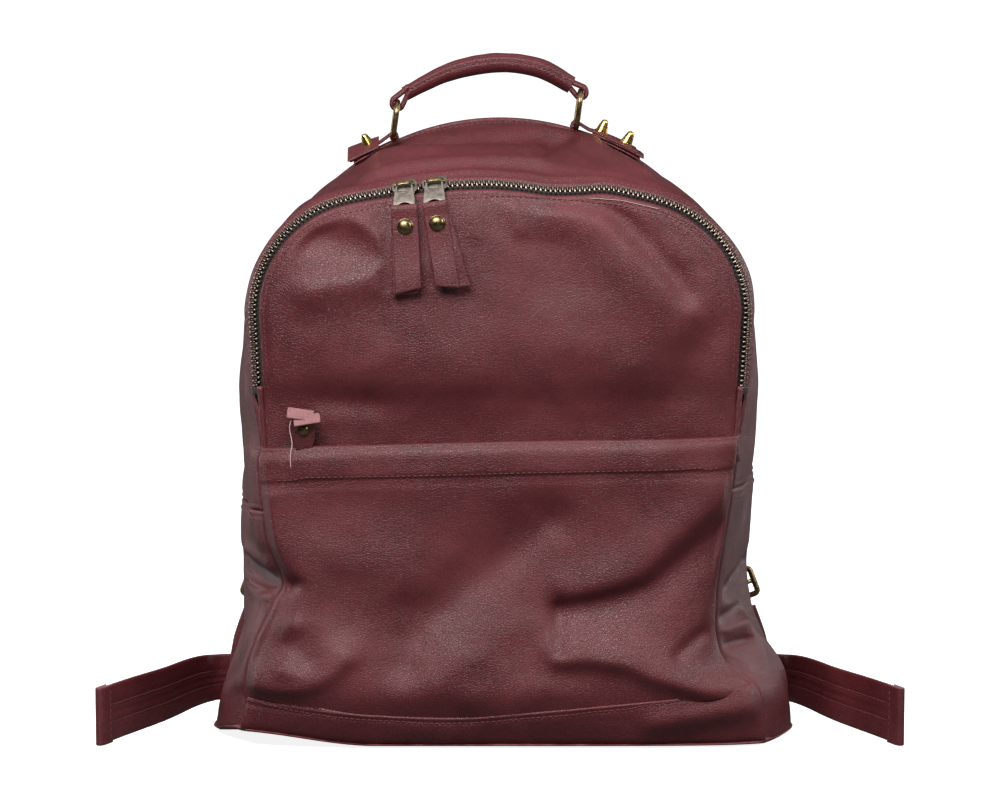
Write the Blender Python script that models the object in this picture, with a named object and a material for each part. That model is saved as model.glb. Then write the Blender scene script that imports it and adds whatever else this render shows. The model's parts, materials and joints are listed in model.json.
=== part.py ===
"""A dome-topped leather backpack, with its front towards -Y and its base on z = 0.

Every panel is a slab: a grid of points thickened along its normals. Sizes are in millimetres.
"""

from math import asin, cos, pi, radians, sin

import bpy
import numpy as np

MM = 0.001
GAP = 0.3
LEATHER = 1.6
LINING = 0.5
LINING_DEPTH = LEATHER + 0.8
TAPE = 0.6

# The front arch, which the main zip follows: a crown arc, two shoulder arcs and two drawn-in sides.
CROWN_TOP = 361.0
CROWN_R = 480.0
CROWN_CENTRE_Z = CROWN_TOP - CROWN_R
SHOULDER_R = 75.0
HALF_WIDTH = 158.0
SIDE_LINE = [(HALF_WIDTH, 277.4), (153.5, 212.0), (141.0, 108.0), (150.0, 45.0), (165.0, 2.2)]

# The back arch: a half circle on two nearly straight sides.
BACK_R = 160.0
BACK_CENTRE_Z = 227.0
BACK_SIDE_LINE = [(BACK_R, BACK_CENTRE_Z), (157.0, 140.0), (158.0, 70.0), (170.0, 2.2)]

BACK_Y = 60.0
ZIP_Y = -58.5
FRONT_Y = -62.0
HINGE_Z = 219.0
HINGE_BULGE = 7.0
HINGE_Y = FRONT_Y - HINGE_BULGE
ZIP_END = 0.535
EDGE = 3.5
SEAM_FRACTION = {-1: 0.685, 1: 0.655}

POCKET_TOP = 195.0
BAND_TOP = 26.0
PANEL_FOOT = 2.2
POCKET_Y = FRONT_Y - 2.5
POCKET_BULGES = [(0.0, 5.0), (26.0, 11.0), (100.0, 24.0), (195.0, 17.0)]
POCKET_ZIP_Z = 186.0
POCKET_ZIP_Y = -68.9
POCKET_ZIP_REACH = 134.0
POCKET_SLIDER_X = -125.0

CHAIN_HALF = 3.0
CHAIN_THICK = 2.6
SLIDER_ANGLES = {"left": -7.25, "right": -4.96}
PULLER_LEANS = {"left": 3.0, "right": 9.0}

HANDLE_Y = 44.0
RING_X = {"left": -69.0, "right": 49.0}
RING_LIFT = 6.4
RING_RISE = (3.0, 22.0)
RING_WIRE = 1.9
TAB_REACH = {"left": 25.0, "right": 41.0}
TAB_LIFT = 3.2
STRAP_TOP = (40.0, 68.0, 349.0)
TAIL_ROOT = (179.0, 69.0, 22.5)
STUD_X = {"stud_left": -84.0, "stud_right_inner": 65.0, "stud_right_outer": 81.0}

BURGUNDY = (0.16, 0.028, 0.035)


# ---------------------------------------------------------------- materials and meshes

def material(name, colour, roughness, metallic=0.0):
    made = bpy.data.materials.new(name)
    made.use_nodes = True
    shader = made.node_tree.nodes["Principled BSDF"]
    shader.inputs["Base Color"].default_value = (*colour, 1.0)
    shader.inputs["Roughness"].default_value = roughness
    shader.inputs["Metallic"].default_value = metallic
    return made


def add_object(name, points, faces, look, pivot=None):
    """One named mesh object, in mm; with a pivot, it hangs from that empty."""
    origin = np.array(pivot.location) / MM if pivot else np.zeros(3)
    mesh = bpy.data.meshes.new(name)
    mesh.from_pydata(((np.asarray(points) - origin) * MM).tolist(), [], faces)
    mesh.materials.append(MATERIALS[look])
    mesh.shade_smooth()
    mesh.set_sharp_from_angle(angle=radians(40.0))
    made = bpy.data.objects.new(name, mesh)
    bpy.context.collection.objects.link(made)
    if pivot:
        made.parent = pivot
    return made


def add_pivot(name, place):
    """An empty on a joint's axis."""
    made = bpy.data.objects.new(name, None)
    made.location = [value * MM for value in place]
    bpy.context.collection.objects.link(made)
    return made


def weld(points, faces):
    """Joins the points that a grid repeats where it runs out to a corner."""
    _, first, index = np.unique(np.round(points, 4), axis=0, return_index=True, return_inverse=True)
    index = index.reshape(-1)
    welded = []
    for face in faces:
        corners = [int(index[corner]) for corner in face]
        kept = [corner for k, corner in enumerate(corners) if corner != corners[k - 1]]
        if len(kept) > 2:
            welded.append(kept)
    return points[first], welded


def grid_normals(grid):
    """Unit normals of a grid of points; a normal that a corner loses is taken from the next row."""
    along = np.gradient(grid, axis=0)
    across = np.gradient(grid, axis=1)
    normals = np.cross(along, across)
    lengths = np.linalg.norm(normals, axis=2, keepdims=True)
    for row in (0, -1):
        if lengths[row].min() < 1e-9:
            neighbour = 1 if row == 0 else -2
            lost = lengths[row, :, 0] < 1e-9
            normals[row][lost] = normals[neighbour][lost]
    return normals / np.linalg.norm(normals, axis=2, keepdims=True)


def slab(name, grid, look, outer=0.0, inner=-LEATHER, pivot=None):
    """A sheet between two offsets of a grid whose normals point outwards."""
    normals = grid_normals(grid)
    rows, columns = grid.shape[:2]
    top = (grid + normals * outer).reshape(-1, 3)
    bottom = (grid + normals * inner).reshape(-1, 3)
    count = rows * columns
    faces = []
    for i in range(rows - 1):
        for j in range(columns - 1):
            a = i * columns + j
            faces.append([a, a + columns, a + columns + 1, a + 1])
            faces.append([a + count, a + 1 + count, a + columns + 1 + count, a + columns + count])
    rim = [j for j in range(columns)]
    rim += [i * columns + columns - 1 for i in range(1, rows)]
    rim += [(rows - 1) * columns + j for j in range(columns - 2, -1, -1)]
    rim += [i * columns for i in range(rows - 2, 0, -1)]
    for k, a in enumerate(rim):
        b = rim[(k + 1) % len(rim)]
        faces.append([a, b, b + count, a + count])
    points, faces = weld(np.vstack([top, bottom]), faces)
    return add_object(name, points, faces, look, pivot)


def tube(name, path, look, section, closed=False, pivot=None, side=(0.0, 1.0, 0.0)):
    """A closed section swept along a path; the section's first axis stays nearest to `side`."""
    path = np.asarray(path, float)
    if closed:
        along = np.roll(path, -1, axis=0) - np.roll(path, 1, axis=0)
    else:
        along = np.gradient(path, axis=0)
    along /= np.linalg.norm(along, axis=1, keepdims=True)
    first = np.asarray(side) - along * (along @ np.asarray(side))[:, None]
    first /= np.linalg.norm(first, axis=1, keepdims=True)
    second = np.cross(along, first)
    section = np.asarray(section, float)
    points = (path[:, None] + first[:, None] * section[None, :, :1]
              + second[:, None] * section[None, :, 1:]).reshape(-1, 3)
    sides = len(section)
    rings = len(path)
    faces = []
    for i in range(rings if closed else rings - 1):
        for j in range(sides):
            a = i * sides + j
            b = i * sides + (j + 1) % sides
            ahead = ((i + 1) % rings - i) * sides
            faces.append([a, b, b + ahead, a + ahead])
    if not closed:
        faces.append(list(range(sides))[::-1])
        faces.append([(rings - 1) * sides + j for j in range(sides)])
    return add_object(name, points, faces, look, pivot)


def extrusion(name, loop, shift, look, pivot=None):
    """A flat outline of points moved straight along `shift`, and the solid between."""
    loop = np.asarray(loop, float)
    count = len(loop)
    area = sum(np.cross(loop[k] - loop[0], loop[k + 1] - loop[0]) for k in range(1, count - 1))
    if area @ shift < 0:
        loop = loop[::-1]
    faces = [list(range(count))[::-1], list(range(count, 2 * count))]
    faces += [[k, (k + 1) % count, (k + 1) % count + count, k + count] for k in range(count)]
    return add_object(name, np.vstack([loop, loop + shift]), faces, look, pivot)


def turned(name, foot, axis, profile, look, pivot=None, sides=16):
    """A solid turned about an axis from (radius, height) pairs that start and end on it."""
    axis = np.asarray(axis, float) / np.linalg.norm(axis)
    aside = np.cross(axis, (0.0, 1.0, 0.0) if abs(axis[1]) < 0.7 else (1.0, 0.0, 0.0))
    aside /= np.linalg.norm(aside)
    third = np.cross(axis, aside)
    points = []
    for radius, height in profile:
        for k in range(sides):
            angle = 2 * pi * k / sides
            points.append(foot + axis * height + radius * (aside * cos(angle) + third * sin(angle)))
    faces = []
    for i in range(len(profile) - 1):
        for k in range(sides):
            a = i * sides + k
            b = i * sides + (k + 1) % sides
            faces.append([a, b, b + sides, a + sides])
    points, faces = weld(np.array(points), faces)
    return add_object(name, points, faces, look, pivot)


# ---------------------------------------------------------------- curves

def circle(radius, sides=12):
    return [(radius * cos(2 * pi * k / sides), radius * sin(2 * pi * k / sides)) for k in range(sides)]


def rectangle(width, height):
    return [(width / 2, -height / 2), (width / 2, height / 2), (-width / 2, height / 2), (-width / 2, -height / 2)]


def spline(points, steps=8):
    """A Catmull-Rom curve through the points."""
    points = np.asarray(points, float)
    padded = np.vstack([2 * points[0] - points[1], points, 2 * points[-1] - points[-2]])
    curve = []
    for k in range(1, len(padded) - 2):
        before, start, end, after = padded[k - 1:k + 3]
        for u in np.linspace(0.0, 1.0, steps, endpoint=False):
            curve.append(0.5 * (2 * start + (end - before) * u
                                + (2 * before - 5 * start + 4 * end - after) * u ** 2
                                + (3 * start - before - 3 * end + after) * u ** 3))
    curve.append(padded[-2])
    return np.array(curve)


def arc(centre, radius, start, end, count):
    """Points in X and Z; angles in radians run from +Z towards +X."""
    angles = np.linspace(start, end, count)
    return np.column_stack([centre[0] + radius * np.sin(angles), centre[1] + radius * np.cos(angles)])


def front_half():
    turn = asin((HALF_WIDTH - SHOULDER_R) / (CROWN_R - SHOULDER_R))
    shoulder = ((CROWN_R - SHOULDER_R) * sin(turn), CROWN_CENTRE_Z + (CROWN_R - SHOULDER_R) * cos(turn))
    crown = arc((0.0, CROWN_CENTRE_Z), CROWN_R, 0.0, turn, 16)
    bend = arc(shoulder, SHOULDER_R, turn, pi / 2, 16)
    side = spline([(HALF_WIDTH, shoulder[1])] + SIDE_LINE[1:])
    return np.vstack([crown, bend[1:], side[1:]])


def back_half():
    dome = arc((0.0, BACK_CENTRE_Z), BACK_R, 0.0, pi / 2, 32)
    return np.vstack([dome, spline(BACK_SIDE_LINE)[1:]])


def at_fraction(half, fraction):
    """Points (x, z) at signed fractions of a half arch; 0 is the crown and +1 the right foot."""
    steps = np.linalg.norm(np.diff(half, axis=0), axis=1)
    run = np.concatenate([[0.0], np.cumsum(steps)])
    wanted = np.abs(fraction) * run[-1]
    x = np.interp(wanted, run, half[:, 0]) * np.where(fraction < 0, -1.0, 1.0)
    return np.stack([x, np.interp(wanted, run, half[:, 1])], axis=-1)


def outward(half, fraction):
    """Unit normals (x, z) of an arch, pointing away from the bag."""
    step = 0.004
    low = at_fraction(half, np.clip(fraction - step, -1.0, 1.0))
    high = at_fraction(half, np.clip(fraction + step, -1.0, 1.0))
    along = high - low
    along /= np.linalg.norm(along, axis=-1, keepdims=True)
    return np.stack([-along[..., 1], along[..., 0]], axis=-1)


def half_width(height):
    """Half the front panel's width at a height below the shoulders."""
    side = FRONT[FRONT[:, 1] < 290.0]
    return np.interp(height, side[::-1, 1], side[::-1, 0])


def at_y(flat, y):
    """Lifts (x, z) points to (x, y, z)."""
    return np.stack([flat[..., 0], np.broadcast_to(y, flat.shape[:-1]), flat[..., 1]], axis=-1)


# ---------------------------------------------------------------- surfaces

def gusset(fraction, depth):
    """The wall between the arches: depth 0 is its front edge and 1 its back edge."""
    below_zip = np.clip((np.abs(fraction) - ZIP_END) / 0.05, 0.0, 1.0)
    lift = EDGE - (EDGE - GAP) * below_zip
    front_y = ZIP_Y + EDGE - 4.3 * below_zip
    normal = outward(FRONT, fraction)
    front = at_y(at_fraction(FRONT, fraction) + normal * lift[..., None], front_y)
    back = at_y(at_fraction(BACK, fraction), BACK_Y - LEATHER - GAP)
    bulge = 4.0 + 12.0 * np.clip((np.abs(fraction) - 0.4) / 0.35, 0.0, 1.0)
    swell = bulge * np.sin(pi * depth) ** 0.9
    return front * (1 - depth)[..., None] + back * depth[..., None] + at_y(normal * swell[..., None], 0.0)


def gusset_grid(start, end, rows, depths):
    fraction, depth = np.meshgrid(np.linspace(start, end, rows), depths, indexing="ij")
    return gusset(fraction, depth)


def spread(count):
    """Values from -1 to 1 that crowd towards both ends."""
    return np.sin(np.linspace(-pi / 2, pi / 2, count))


def round_off(share, power):
    """1 in the middle of a panel, falling to 0 at its edge."""
    return (1 - np.abs(share) ** power) ** 0.6


def lower_front_grid(low, high, rows, reach=1.0):
    """The panel behind the pocket; its columns run to a share of its half width."""
    height, share = np.meshgrid(np.linspace(low, high, rows), spread(13) * reach, indexing="ij")
    bulge = np.interp(height, [0.0, POCKET_TOP, HINGE_Z], [3.0, 5.5, HINGE_BULGE])
    x = share * (half_width(height) - EDGE)
    return np.stack([x, FRONT_Y - bulge * round_off(share, 3), height], axis=-1)[:, ::-1]


def flap_grid(low, high, reach=1.0):
    """The arched upper front, from the hinge line up to the zip; low and high are shares of its columns."""
    end = ZIP_END * reach
    across = np.linspace(-end, end, 25)
    rim = at_fraction(FRONT, across) - outward(FRONT, across) * EDGE
    column, up = np.meshgrid(np.arange(25), np.linspace(low, high, 9), indexing="ij")
    foot = HINGE_Z + GAP / 2
    x = rim[column, 0]
    height = foot + up * np.maximum(rim[column, 1] - foot, 0.0)
    bulge = HINGE_BULGE + 7.0 * np.sin(pi * 0.9 * up)
    y = FRONT_Y - bulge * round_off(x / (HALF_WIDTH - EDGE + 0.6), 3) * (1 - up ** 4) ** 0.6
    return np.stack([x, y, height], axis=-1)


def pocket_grid(low, high, rows):
    """The outside of the front pocket."""
    height, share = np.meshgrid(np.linspace(low, high, rows), spread(15), indexing="ij")
    bulges = spline(POCKET_BULGES)
    bulge = np.interp(height, bulges[:, 0], bulges[:, 1])
    x = share * half_width(height)
    return np.stack([x, POCKET_Y - bulge * round_off(share, 5), height], axis=-1)[:, ::-1]


def chain_frame(fraction):
    """Centre line of the main zip, its face direction and the direction towards the front panel."""
    centre = at_y(at_fraction(FRONT, fraction), ZIP_Y)
    normal = at_y(outward(FRONT, fraction), 0.0)
    forward = np.broadcast_to((0.0, -1.0, 0.0), normal.shape)
    return centre, (normal + forward) / 2 ** 0.5, (forward - normal) / 2 ** 0.5


# ---------------------------------------------------------------- the shell

def make_shell():
    depths = np.linspace(0.0, 1.0, 7)
    left, right = SEAM_FRACTION[-1], SEAM_FRACTION[1]
    slab("gusset_upper", gusset_grid(-left, right, 37, depths), "leather")
    step = 0.0012
    slab("side_panel_left", gusset_grid(-1.0, -left - step, 9, depths), "leather")
    slab("side_panel_right", gusset_grid(right + step, 1.0, 9, depths), "leather")
    inside = np.linspace(0.12, 0.97, 5)
    slab("lining_gusset", gusset_grid(-0.982, 0.982, 49, inside), "lining", -LINING_DEPTH, -LINING_DEPTH - LINING)


def back_loop(inset, foot, y):
    """The back arch drawn in by `inset` and closed along a straight foot, as points at one depth."""
    fraction = np.linspace(-1.0, 1.0, 41)
    rim = at_fraction(BACK, fraction) - outward(BACK, fraction) * inset
    rim[:, 1] = np.maximum(rim[:, 1], foot)
    return at_y(rim, y)


def make_back():
    extrusion("back_panel", back_loop(0.0, PANEL_FOOT, BACK_Y - LEATHER), np.array([0.0, LEATHER, 0.0]), "leather")
    lining_y = BACK_Y - LEATHER - GAP - LINING
    extrusion("lining_back", back_loop(6.0, 6.0, lining_y), np.array([0.0, LINING, 0.0]), "lining")


def make_base():
    """The base sheet, cut to the feet of the walls above it, and the board inside."""
    depth = np.linspace(0.0, 1.0, 9)
    ones = np.ones_like(depth)
    right = gusset(ones, depth)[:, :2]
    left = gusset(-ones, depth)[:, :2]
    front = pocket_grid(PANEL_FOOT, BAND_TOP, 2)[0][::-1, :2]
    back = np.array([(right[-1, 0], BACK_Y), (left[-1, 0], BACK_Y)])
    outline = np.vstack([front, right, back, left[::-1]])
    loop = np.column_stack([outline, np.zeros(len(outline))])
    extrusion("base_panel", loop, np.array([0.0, 0.0, LEATHER]), "leather")
    half, front_y, back_y, low = 156.0, FRONT_Y + 7.0, BACK_Y - 7.0, LEATHER + GAP
    board = [(-half, front_y, low), (half, front_y, low), (half, back_y, low), (-half, back_y, low)]
    extrusion("base_board", board, np.array([0.0, 0.0, 2.5]), "board")


def make_front():
    slab("front_panel_lower", lower_front_grid(PANEL_FOOT, HINGE_Z - GAP / 2, 7), "leather")
    slab("lining_front_lower", lower_front_grid(6.0, HINGE_Z - 3.0, 7, 0.94), "lining",
         -LINING_DEPTH, -LINING_DEPTH - LINING)
    slab("pocket_panel", pocket_grid(BAND_TOP + GAP, POCKET_TOP, 10), "leather")
    slab("pocket_base_band", pocket_grid(PANEL_FOOT, BAND_TOP, 3), "leather")


def make_flap(pivot):
    slab("front_panel_upper", flap_grid(0.0, 1.0), "leather", pivot=pivot)
    slab("lining_front_upper", flap_grid(0.02, 0.86, 0.70), "lining", -LINING_DEPTH, -LINING_DEPTH - LINING,
         pivot=pivot)


# ---------------------------------------------------------------- the main zip

def strip(fraction, near, far):
    """A grid along the main zip between two distances from its centre line towards the front panel."""
    centre, face, inward = chain_frame(fraction)
    return np.stack([centre + inward * near, centre + inward * far], axis=1)


def make_main_zip(flap_pivot):
    reach = ZIP_END - 0.02
    fraction = np.linspace(-reach, reach, 41)
    half = CHAIN_THICK / 2
    slab("main_zip_teeth_back", strip(fraction, -GAP / 2, -CHAIN_HALF), "chain", half, -half)
    slab("main_zip_teeth_front", strip(fraction, CHAIN_HALF, GAP / 2), "chain", half, -half, pivot=flap_pivot)
    make_tapes(fraction, flap_pivot)
    for side, name in ((-1, "zip_stop_left"), (1, "zip_stop_right")):
        ends = np.array([reach + 0.002, reach + 0.010]) * side
        slab(name, strip(np.sort(ends), -GAP / 2, -CHAIN_HALF - 0.5), "steel", half, -half)


def make_tapes(fraction, flap_pivot):
    """Each tape starts beside its teeth and is tucked under the leather's edge."""
    centre, face, inward = chain_frame(fraction)
    reach = fraction[-1]
    under = gusset_grid(-reach, reach, len(fraction), np.array([0.0, 0.035, 0.07]))
    tucked = under - grid_normals(under) * (LEATHER + GAP + 0.6)
    start = centre - inward * (CHAIN_HALF + 3 * GAP) - face * 0.9
    slab("main_zip_tape_back", np.concatenate([start[:, None], tucked], axis=1), "tape", 0.0, -TAPE)
    flat = at_fraction(FRONT, fraction)
    normal = outward(FRONT, fraction)
    rows = [at_y(flat - normal * drawn_in, FRONT_Y + LEATHER + behind)
            for drawn_in, behind in ((9.5, 0.8), (5.0, 0.8), (3.4, 0.5))]
    slab("main_zip_tape_front", np.stack(rows, axis=1), "tape", 0.0, -TAPE, pivot=flap_pivot)


def frame_at(angle):
    """Place, face, inward and run of the crown's chain at an angle from its top."""
    turn = radians(angle)
    centre = np.array([CROWN_R * sin(turn), ZIP_Y, CROWN_CENTRE_Z + CROWN_R * cos(turn)])
    normal = np.array([sin(turn), 0.0, cos(turn)])
    forward = np.array([0.0, -1.0, 0.0])
    run = np.array([cos(turn), 0.0, -sin(turn)])
    return centre, (normal + forward) / 2 ** 0.5, (forward - normal) / 2 ** 0.5, run


def slider(name, centre, face, inward, run, pivot, scale=1.0):
    """The outer plate of a slider and the ridge of its bridge."""
    half_plate, half_ridge, plate, ridge = 4.5 * scale, 1.4 * scale, 1.5 * scale, 4.8 * scale
    profile = [(-half_plate, 0.0), (half_plate, 0.0), (half_plate, plate), (half_ridge, plate),
               (half_ridge, ridge), (-half_ridge, ridge), (-half_ridge, plate), (-half_plate, plate)]
    start = centre - run * 8.0 * scale
    loop = [start + inward * u + face * v for u, v in profile]
    return extrusion(name, loop, run * 16.0 * scale, "steel", pivot)


def pull_loop(name, top, down, run, pivot, half_top, half_foot, length):
    """A flat closed metal loop: narrow at the slider, wide where the leather passes through."""
    corners = [(-half_top, 0.0), (half_top, 0.0), (half_foot, length), (-half_foot, length)]
    path = []
    for k, corner in enumerate(corners):
        after = corners[(k + 1) % 4]
        path += [(corner[0] + (after[0] - corner[0]) * u, corner[1] + (after[1] - corner[1]) * u)
                 for u in (0.15, 0.85)]
    points = [top + run * u + down * v for u, v in path]
    section = rectangle(1.3, 1.6)
    return tube(name, points, "steel", section, closed=True, pivot=pivot, side=np.cross(run, down))


def leather_puller(name, top, down, run, pivot, length, width, thick=3.0):
    """Two plies of leather closed into one strip."""
    out = np.cross(run, down)
    half = run * width / 2
    back = top - out * thick / 2
    loop = [back - half, back + half, back + half + down * length, back - half + down * length]
    return extrusion(name, loop, out * thick, "leather", pivot)


def rivet(name, foot, out, radius, pivot):
    profile = [(0.0, 0.0), (radius, 0.0), (radius, 0.5), (radius * 0.86, 1.6), (radius * 0.5, 2.5), (0.0, 2.8)]
    return turned(name, foot, out, profile, "brass", pivot, 12)


def unit(*parts):
    vector = np.array(parts, float)
    return vector / np.linalg.norm(vector)


def make_sliders():
    for side, angle in SLIDER_ANGLES.items():
        centre, face, inward, run = frame_at(angle)
        crown = add_pivot(f"slider_{side}_path", (0.0, ZIP_Y, CROWN_CENTRE_Z))
        plate_foot = centre + face * (CHAIN_THICK / 2 + GAP)
        slider(f"slider_{side}", plate_foot, face, inward, run, crown)
        bridge = plate_foot + face * 3.4
        hang = add_pivot(f"pull_{side}_hinge", bridge)
        drop = unit(0.0, -0.60, -0.80)
        pull_loop(f"pull_{side}", bridge + drop * 3.2, drop, run, hang, 3.8, 6.6, 15.0)
        slot = bridge + drop * 16.4
        leaf = add_pivot(f"puller_{side}_hinge", slot)
        lean = radians(PULLER_LEANS[side])
        drop = unit(sin(lean), -0.15, -cos(lean))
        across = unit(cos(lean), 0.0, sin(lean))
        out = -np.cross(drop, across)
        out = out if out[1] < 0 else -out
        start = slot + drop * 4.0
        leather_puller(f"puller_{side}", start, drop, across, leaf, 50.0, 15.0)
        rivet(f"puller_{side}_rivet", start + drop * 9.0 + out * (1.5 + GAP), out, 5.2, leaf)


# ---------------------------------------------------------------- the pocket's zip

def make_pocket_zip():
    """The chain lies upright behind the pocket's top edge, with its puller standing above it."""
    reach, middle, y = POCKET_ZIP_REACH, POCKET_ZIP_Z, POCKET_ZIP_Y
    run, face, up = np.eye(3)[0], -np.eye(3)[1], np.eye(3)[2]

    def bar(name, low, high, half, look):
        loop = [(-reach, y - half, low), (-reach, y + half, low), (-reach, y + half, high), (-reach, y - half, high)]
        extrusion(name, loop, run * 2 * reach, look)

    bar("pocket_zip_teeth_upper", middle + GAP / 2, middle + 2.5, 0.9, "chain")
    bar("pocket_zip_teeth_lower", middle - 2.5, middle - GAP / 2, 0.9, "chain")
    bar("pocket_zip_tape_upper", middle + 2.8, middle + 12.0, TAPE / 2, "tape")
    bar("pocket_zip_tape_lower", middle - 12.0, middle - 2.8, TAPE / 2, "tape")
    place = np.array([POCKET_SLIDER_X, y - 0.9 - GAP, middle])
    home = add_pivot("pocket_slider_path", place)
    slider("pocket_slider", place, face, -up, run, home, 0.62)
    pull_loop("pocket_pull", place + face * 2.2 + up * 2.0, up, run, home, 3.0, 4.6, 8.0)
    hinge = place + face * 3.2 + up * 11.4
    leaf = add_pivot("pocket_puller_hinge", hinge)
    rise, out = unit(0.0, -0.12, 1.0), unit(0.0, -1.0, -0.12)
    leather_puller("pocket_puller", hinge + rise * 0.3, rise, run, leaf, 20.0, 20.0)
    rivet("pocket_puller_rivet", hinge + rise * 6.8 + out * (1.5 + GAP), out, 3.4, leaf)


# ---------------------------------------------------------------- the carry handle

def top_surface(x):
    """Height of the gusset's outside at HANDLE_Y over a place near the crown."""
    fraction = np.linspace(-0.45, 0.45, 91)
    points = gusset(fraction, np.full_like(fraction, 0.86))
    return np.interp(x, points[:, 0], points[:, 2])


def ring_foot(side):
    x = RING_X[side]
    return np.array([x, HANDLE_Y, top_surface(x) + RING_LIFT])


def ring_path(foot):
    """A rounded oblong through the foot and the top, lying in the plane of Y and the rise."""
    up = unit(RING_RISE[0], 0.0, RING_RISE[1])
    half_deep, half_high, corner = 12.0, np.hypot(*RING_RISE) / 2, 7.0
    centre = foot + up * half_high
    points = []
    for quarter in range(4):
        sign_y = 1 if quarter in (0, 3) else -1
        sign_z = 1 if quarter in (0, 1) else -1
        for k in range(5):
            angle = (quarter + k / 4) * pi / 2
            y = sign_y * (half_deep - corner) + corner * cos(angle)
            z = sign_z * (half_high - corner) + corner * sin(angle)
            points.append(centre + np.array([0.0, y, 0.0]) + up * z)
    return points


def half_turn(direction, radius, lower_first=False):
    """Points on the half circle that bulges away from `direction`, in X and Z."""
    across = np.array([-direction[2], 0.0, direction[0]])
    angles = np.linspace(-pi / 2, pi / 2, 7)
    points = [-direction * radius * cos(a) + across * radius * sin(a) for a in angles]
    return points[::-1] if lower_first and points[0][2] > points[-1][2] else points


def wrapped_strap(name, path, widths, inward, pivot=None):
    """A strap along a path in X and Z, LEATHER thick on the side given by `inward`."""
    aside = np.array([0.0, 0.5, 0.0])
    grid = np.array([[point - aside * width, point + aside * width] for point, width in zip(path, widths)])
    low, high = (0.0, LEATHER) if inward > 0 else (-LEATHER, 0.0)
    return slab(name, grid, "leather", high, low, pivot)


def make_handle():
    tops = {}
    turn_radius = RING_WIRE + GAP + LEATHER
    for side in RING_X:
        foot = ring_foot(side)
        pivot = add_pivot(f"handle_ring_{side}_hinge", foot)
        tube(f"handle_ring_{side}", ring_path(foot), "brass", circle(RING_WIRE, 8), closed=True,
             pivot=pivot, side=(1.0, 0.0, 0.0))
        tops[side] = foot + np.array([RING_RISE[0], 0.0, RING_RISE[1]])
    grip_pivot = add_pivot("handle_grip_hinge", tops["left"])
    lean = {"left": unit(0.62, 0.0, 0.785), "right": unit(-0.80, 0.0, 0.60)}
    ends = {side: tops[side] + lean[side] * 11.0 for side in tops}
    path = spline([ends["left"], (-34.0, HANDLE_Y, 419.5), (-4.0, HANDLE_Y, 426.0), (24.0, HANDLE_Y, 423.0),
                   ends["right"]], 5)
    make_grip(path, grip_pivot)
    for side in tops:
        centre, toward = tops[side], lean[side]
        turn = [centre + point for point in half_turn(toward, turn_radius)]
        path = [turn[0] + toward * 7.5] + turn + [turn[-1] + toward * 7.5]
        wrapped_strap(f"handle_tail_{side}", path, [10.0] * len(path), -1, grip_pivot)


def make_grip(path, pivot):
    """The rolled leather tube, open at its ends, with the cord inside it."""
    outer, inner, sides = 6.5, 4.9, 10
    along = np.gradient(path, axis=0)
    along /= np.linalg.norm(along, axis=1, keepdims=True)
    first = np.array([0.0, 1.0, 0.0])
    points = []
    for radius in (outer, inner):
        for place, ahead in zip(path, along):
            second = np.cross(ahead, first)
            points += [place + first * u + second * v for u, v in circle(radius, sides)]
    rings = len(path)
    count = rings * sides
    faces = []
    for i in range(rings - 1):
        for j in range(sides):
            a, b = i * sides + j, i * sides + (j + 1) % sides
            faces.append([a, b, b + sides, a + sides])
            faces.append([a + count, a + sides + count, b + sides + count, b + count])
    last = (rings - 1) * sides
    for j in range(sides):
        k = (j + 1) % sides
        faces.append([j, j + count, k + count, k])
        faces.append([last + j, last + k, last + k + count, last + j + count])
    add_object("handle_grip", points, faces, "leather", pivot)
    tube("handle_cord", path, "cord", circle(inner - 2 * GAP, sides), pivot=pivot)


def make_tabs():
    """Each tab lies along the gusset, turns round its ring and comes back on top of itself."""
    for side, sign in (("left", -1), ("right", 1)):
        foot = ring_foot(side)
        x = foot[0] + sign * np.linspace(TAB_REACH[side], 7.5, 6)
        low = np.column_stack([x, np.full_like(x, HANDLE_Y), top_surface(x) + TAB_LIFT - 1.6])
        high = low[::-1] + np.array([0.0, 0.0, 2 * LEATHER + 2.6])
        away = unit(sign * 0.93, 0.0, -0.36)
        turn = foot + np.array(half_turn(away, RING_WIRE + GAP + LEATHER, lower_first=True))
        path = np.vstack([low, turn, high])
        place = np.abs(np.linspace(-1.0, 1.0, len(path)))
        widths = 10.0 + 14.0 * np.clip((place - 0.45) / 0.3, 0.0, 1.0)
        wrapped_strap(f"handle_tab_{side}", path, widths, -sign)


def make_studs():
    profile = [(0.0, 0.0), (4.6, 0.0), (4.6, 1.0), (3.7, 1.6), (2.3, 7.2), (1.5, 8.4), (0.0, 8.8)]
    for name, x in STUD_X.items():
        slope = (top_surface(x + 2.0) - top_surface(x - 2.0)) / 4.0
        foot = np.array([x, HANDLE_Y, top_surface(x) + TAB_LIFT + 2 * LEATHER + 2.6])
        turned(name, foot, np.array([-slope, 0.0, 1.0]), profile, "gold", sides=10)


# ---------------------------------------------------------------- the shoulder straps

def ribbon(name, path, width, thick, look, pivot=None, facing=(0.0, 1.0, 0.0)):
    """A strap along a path, flat towards `facing`."""
    path = np.asarray(path, float)
    along = np.gradient(path, axis=0)
    along /= np.linalg.norm(along, axis=1, keepdims=True)
    across = np.cross(along, np.broadcast_to(facing, along.shape))
    across /= np.linalg.norm(across, axis=1, keepdims=True)
    widths = np.interp(np.linspace(0, 1, len(path)), np.linspace(0, 1, len(width)), width)
    grid = np.stack([path + across * (widths * v / 2)[:, None] for v in (-1.0, 1.0)], axis=1)
    return slab(name, grid, look, thick / 2, -thick / 2, pivot)


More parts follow.
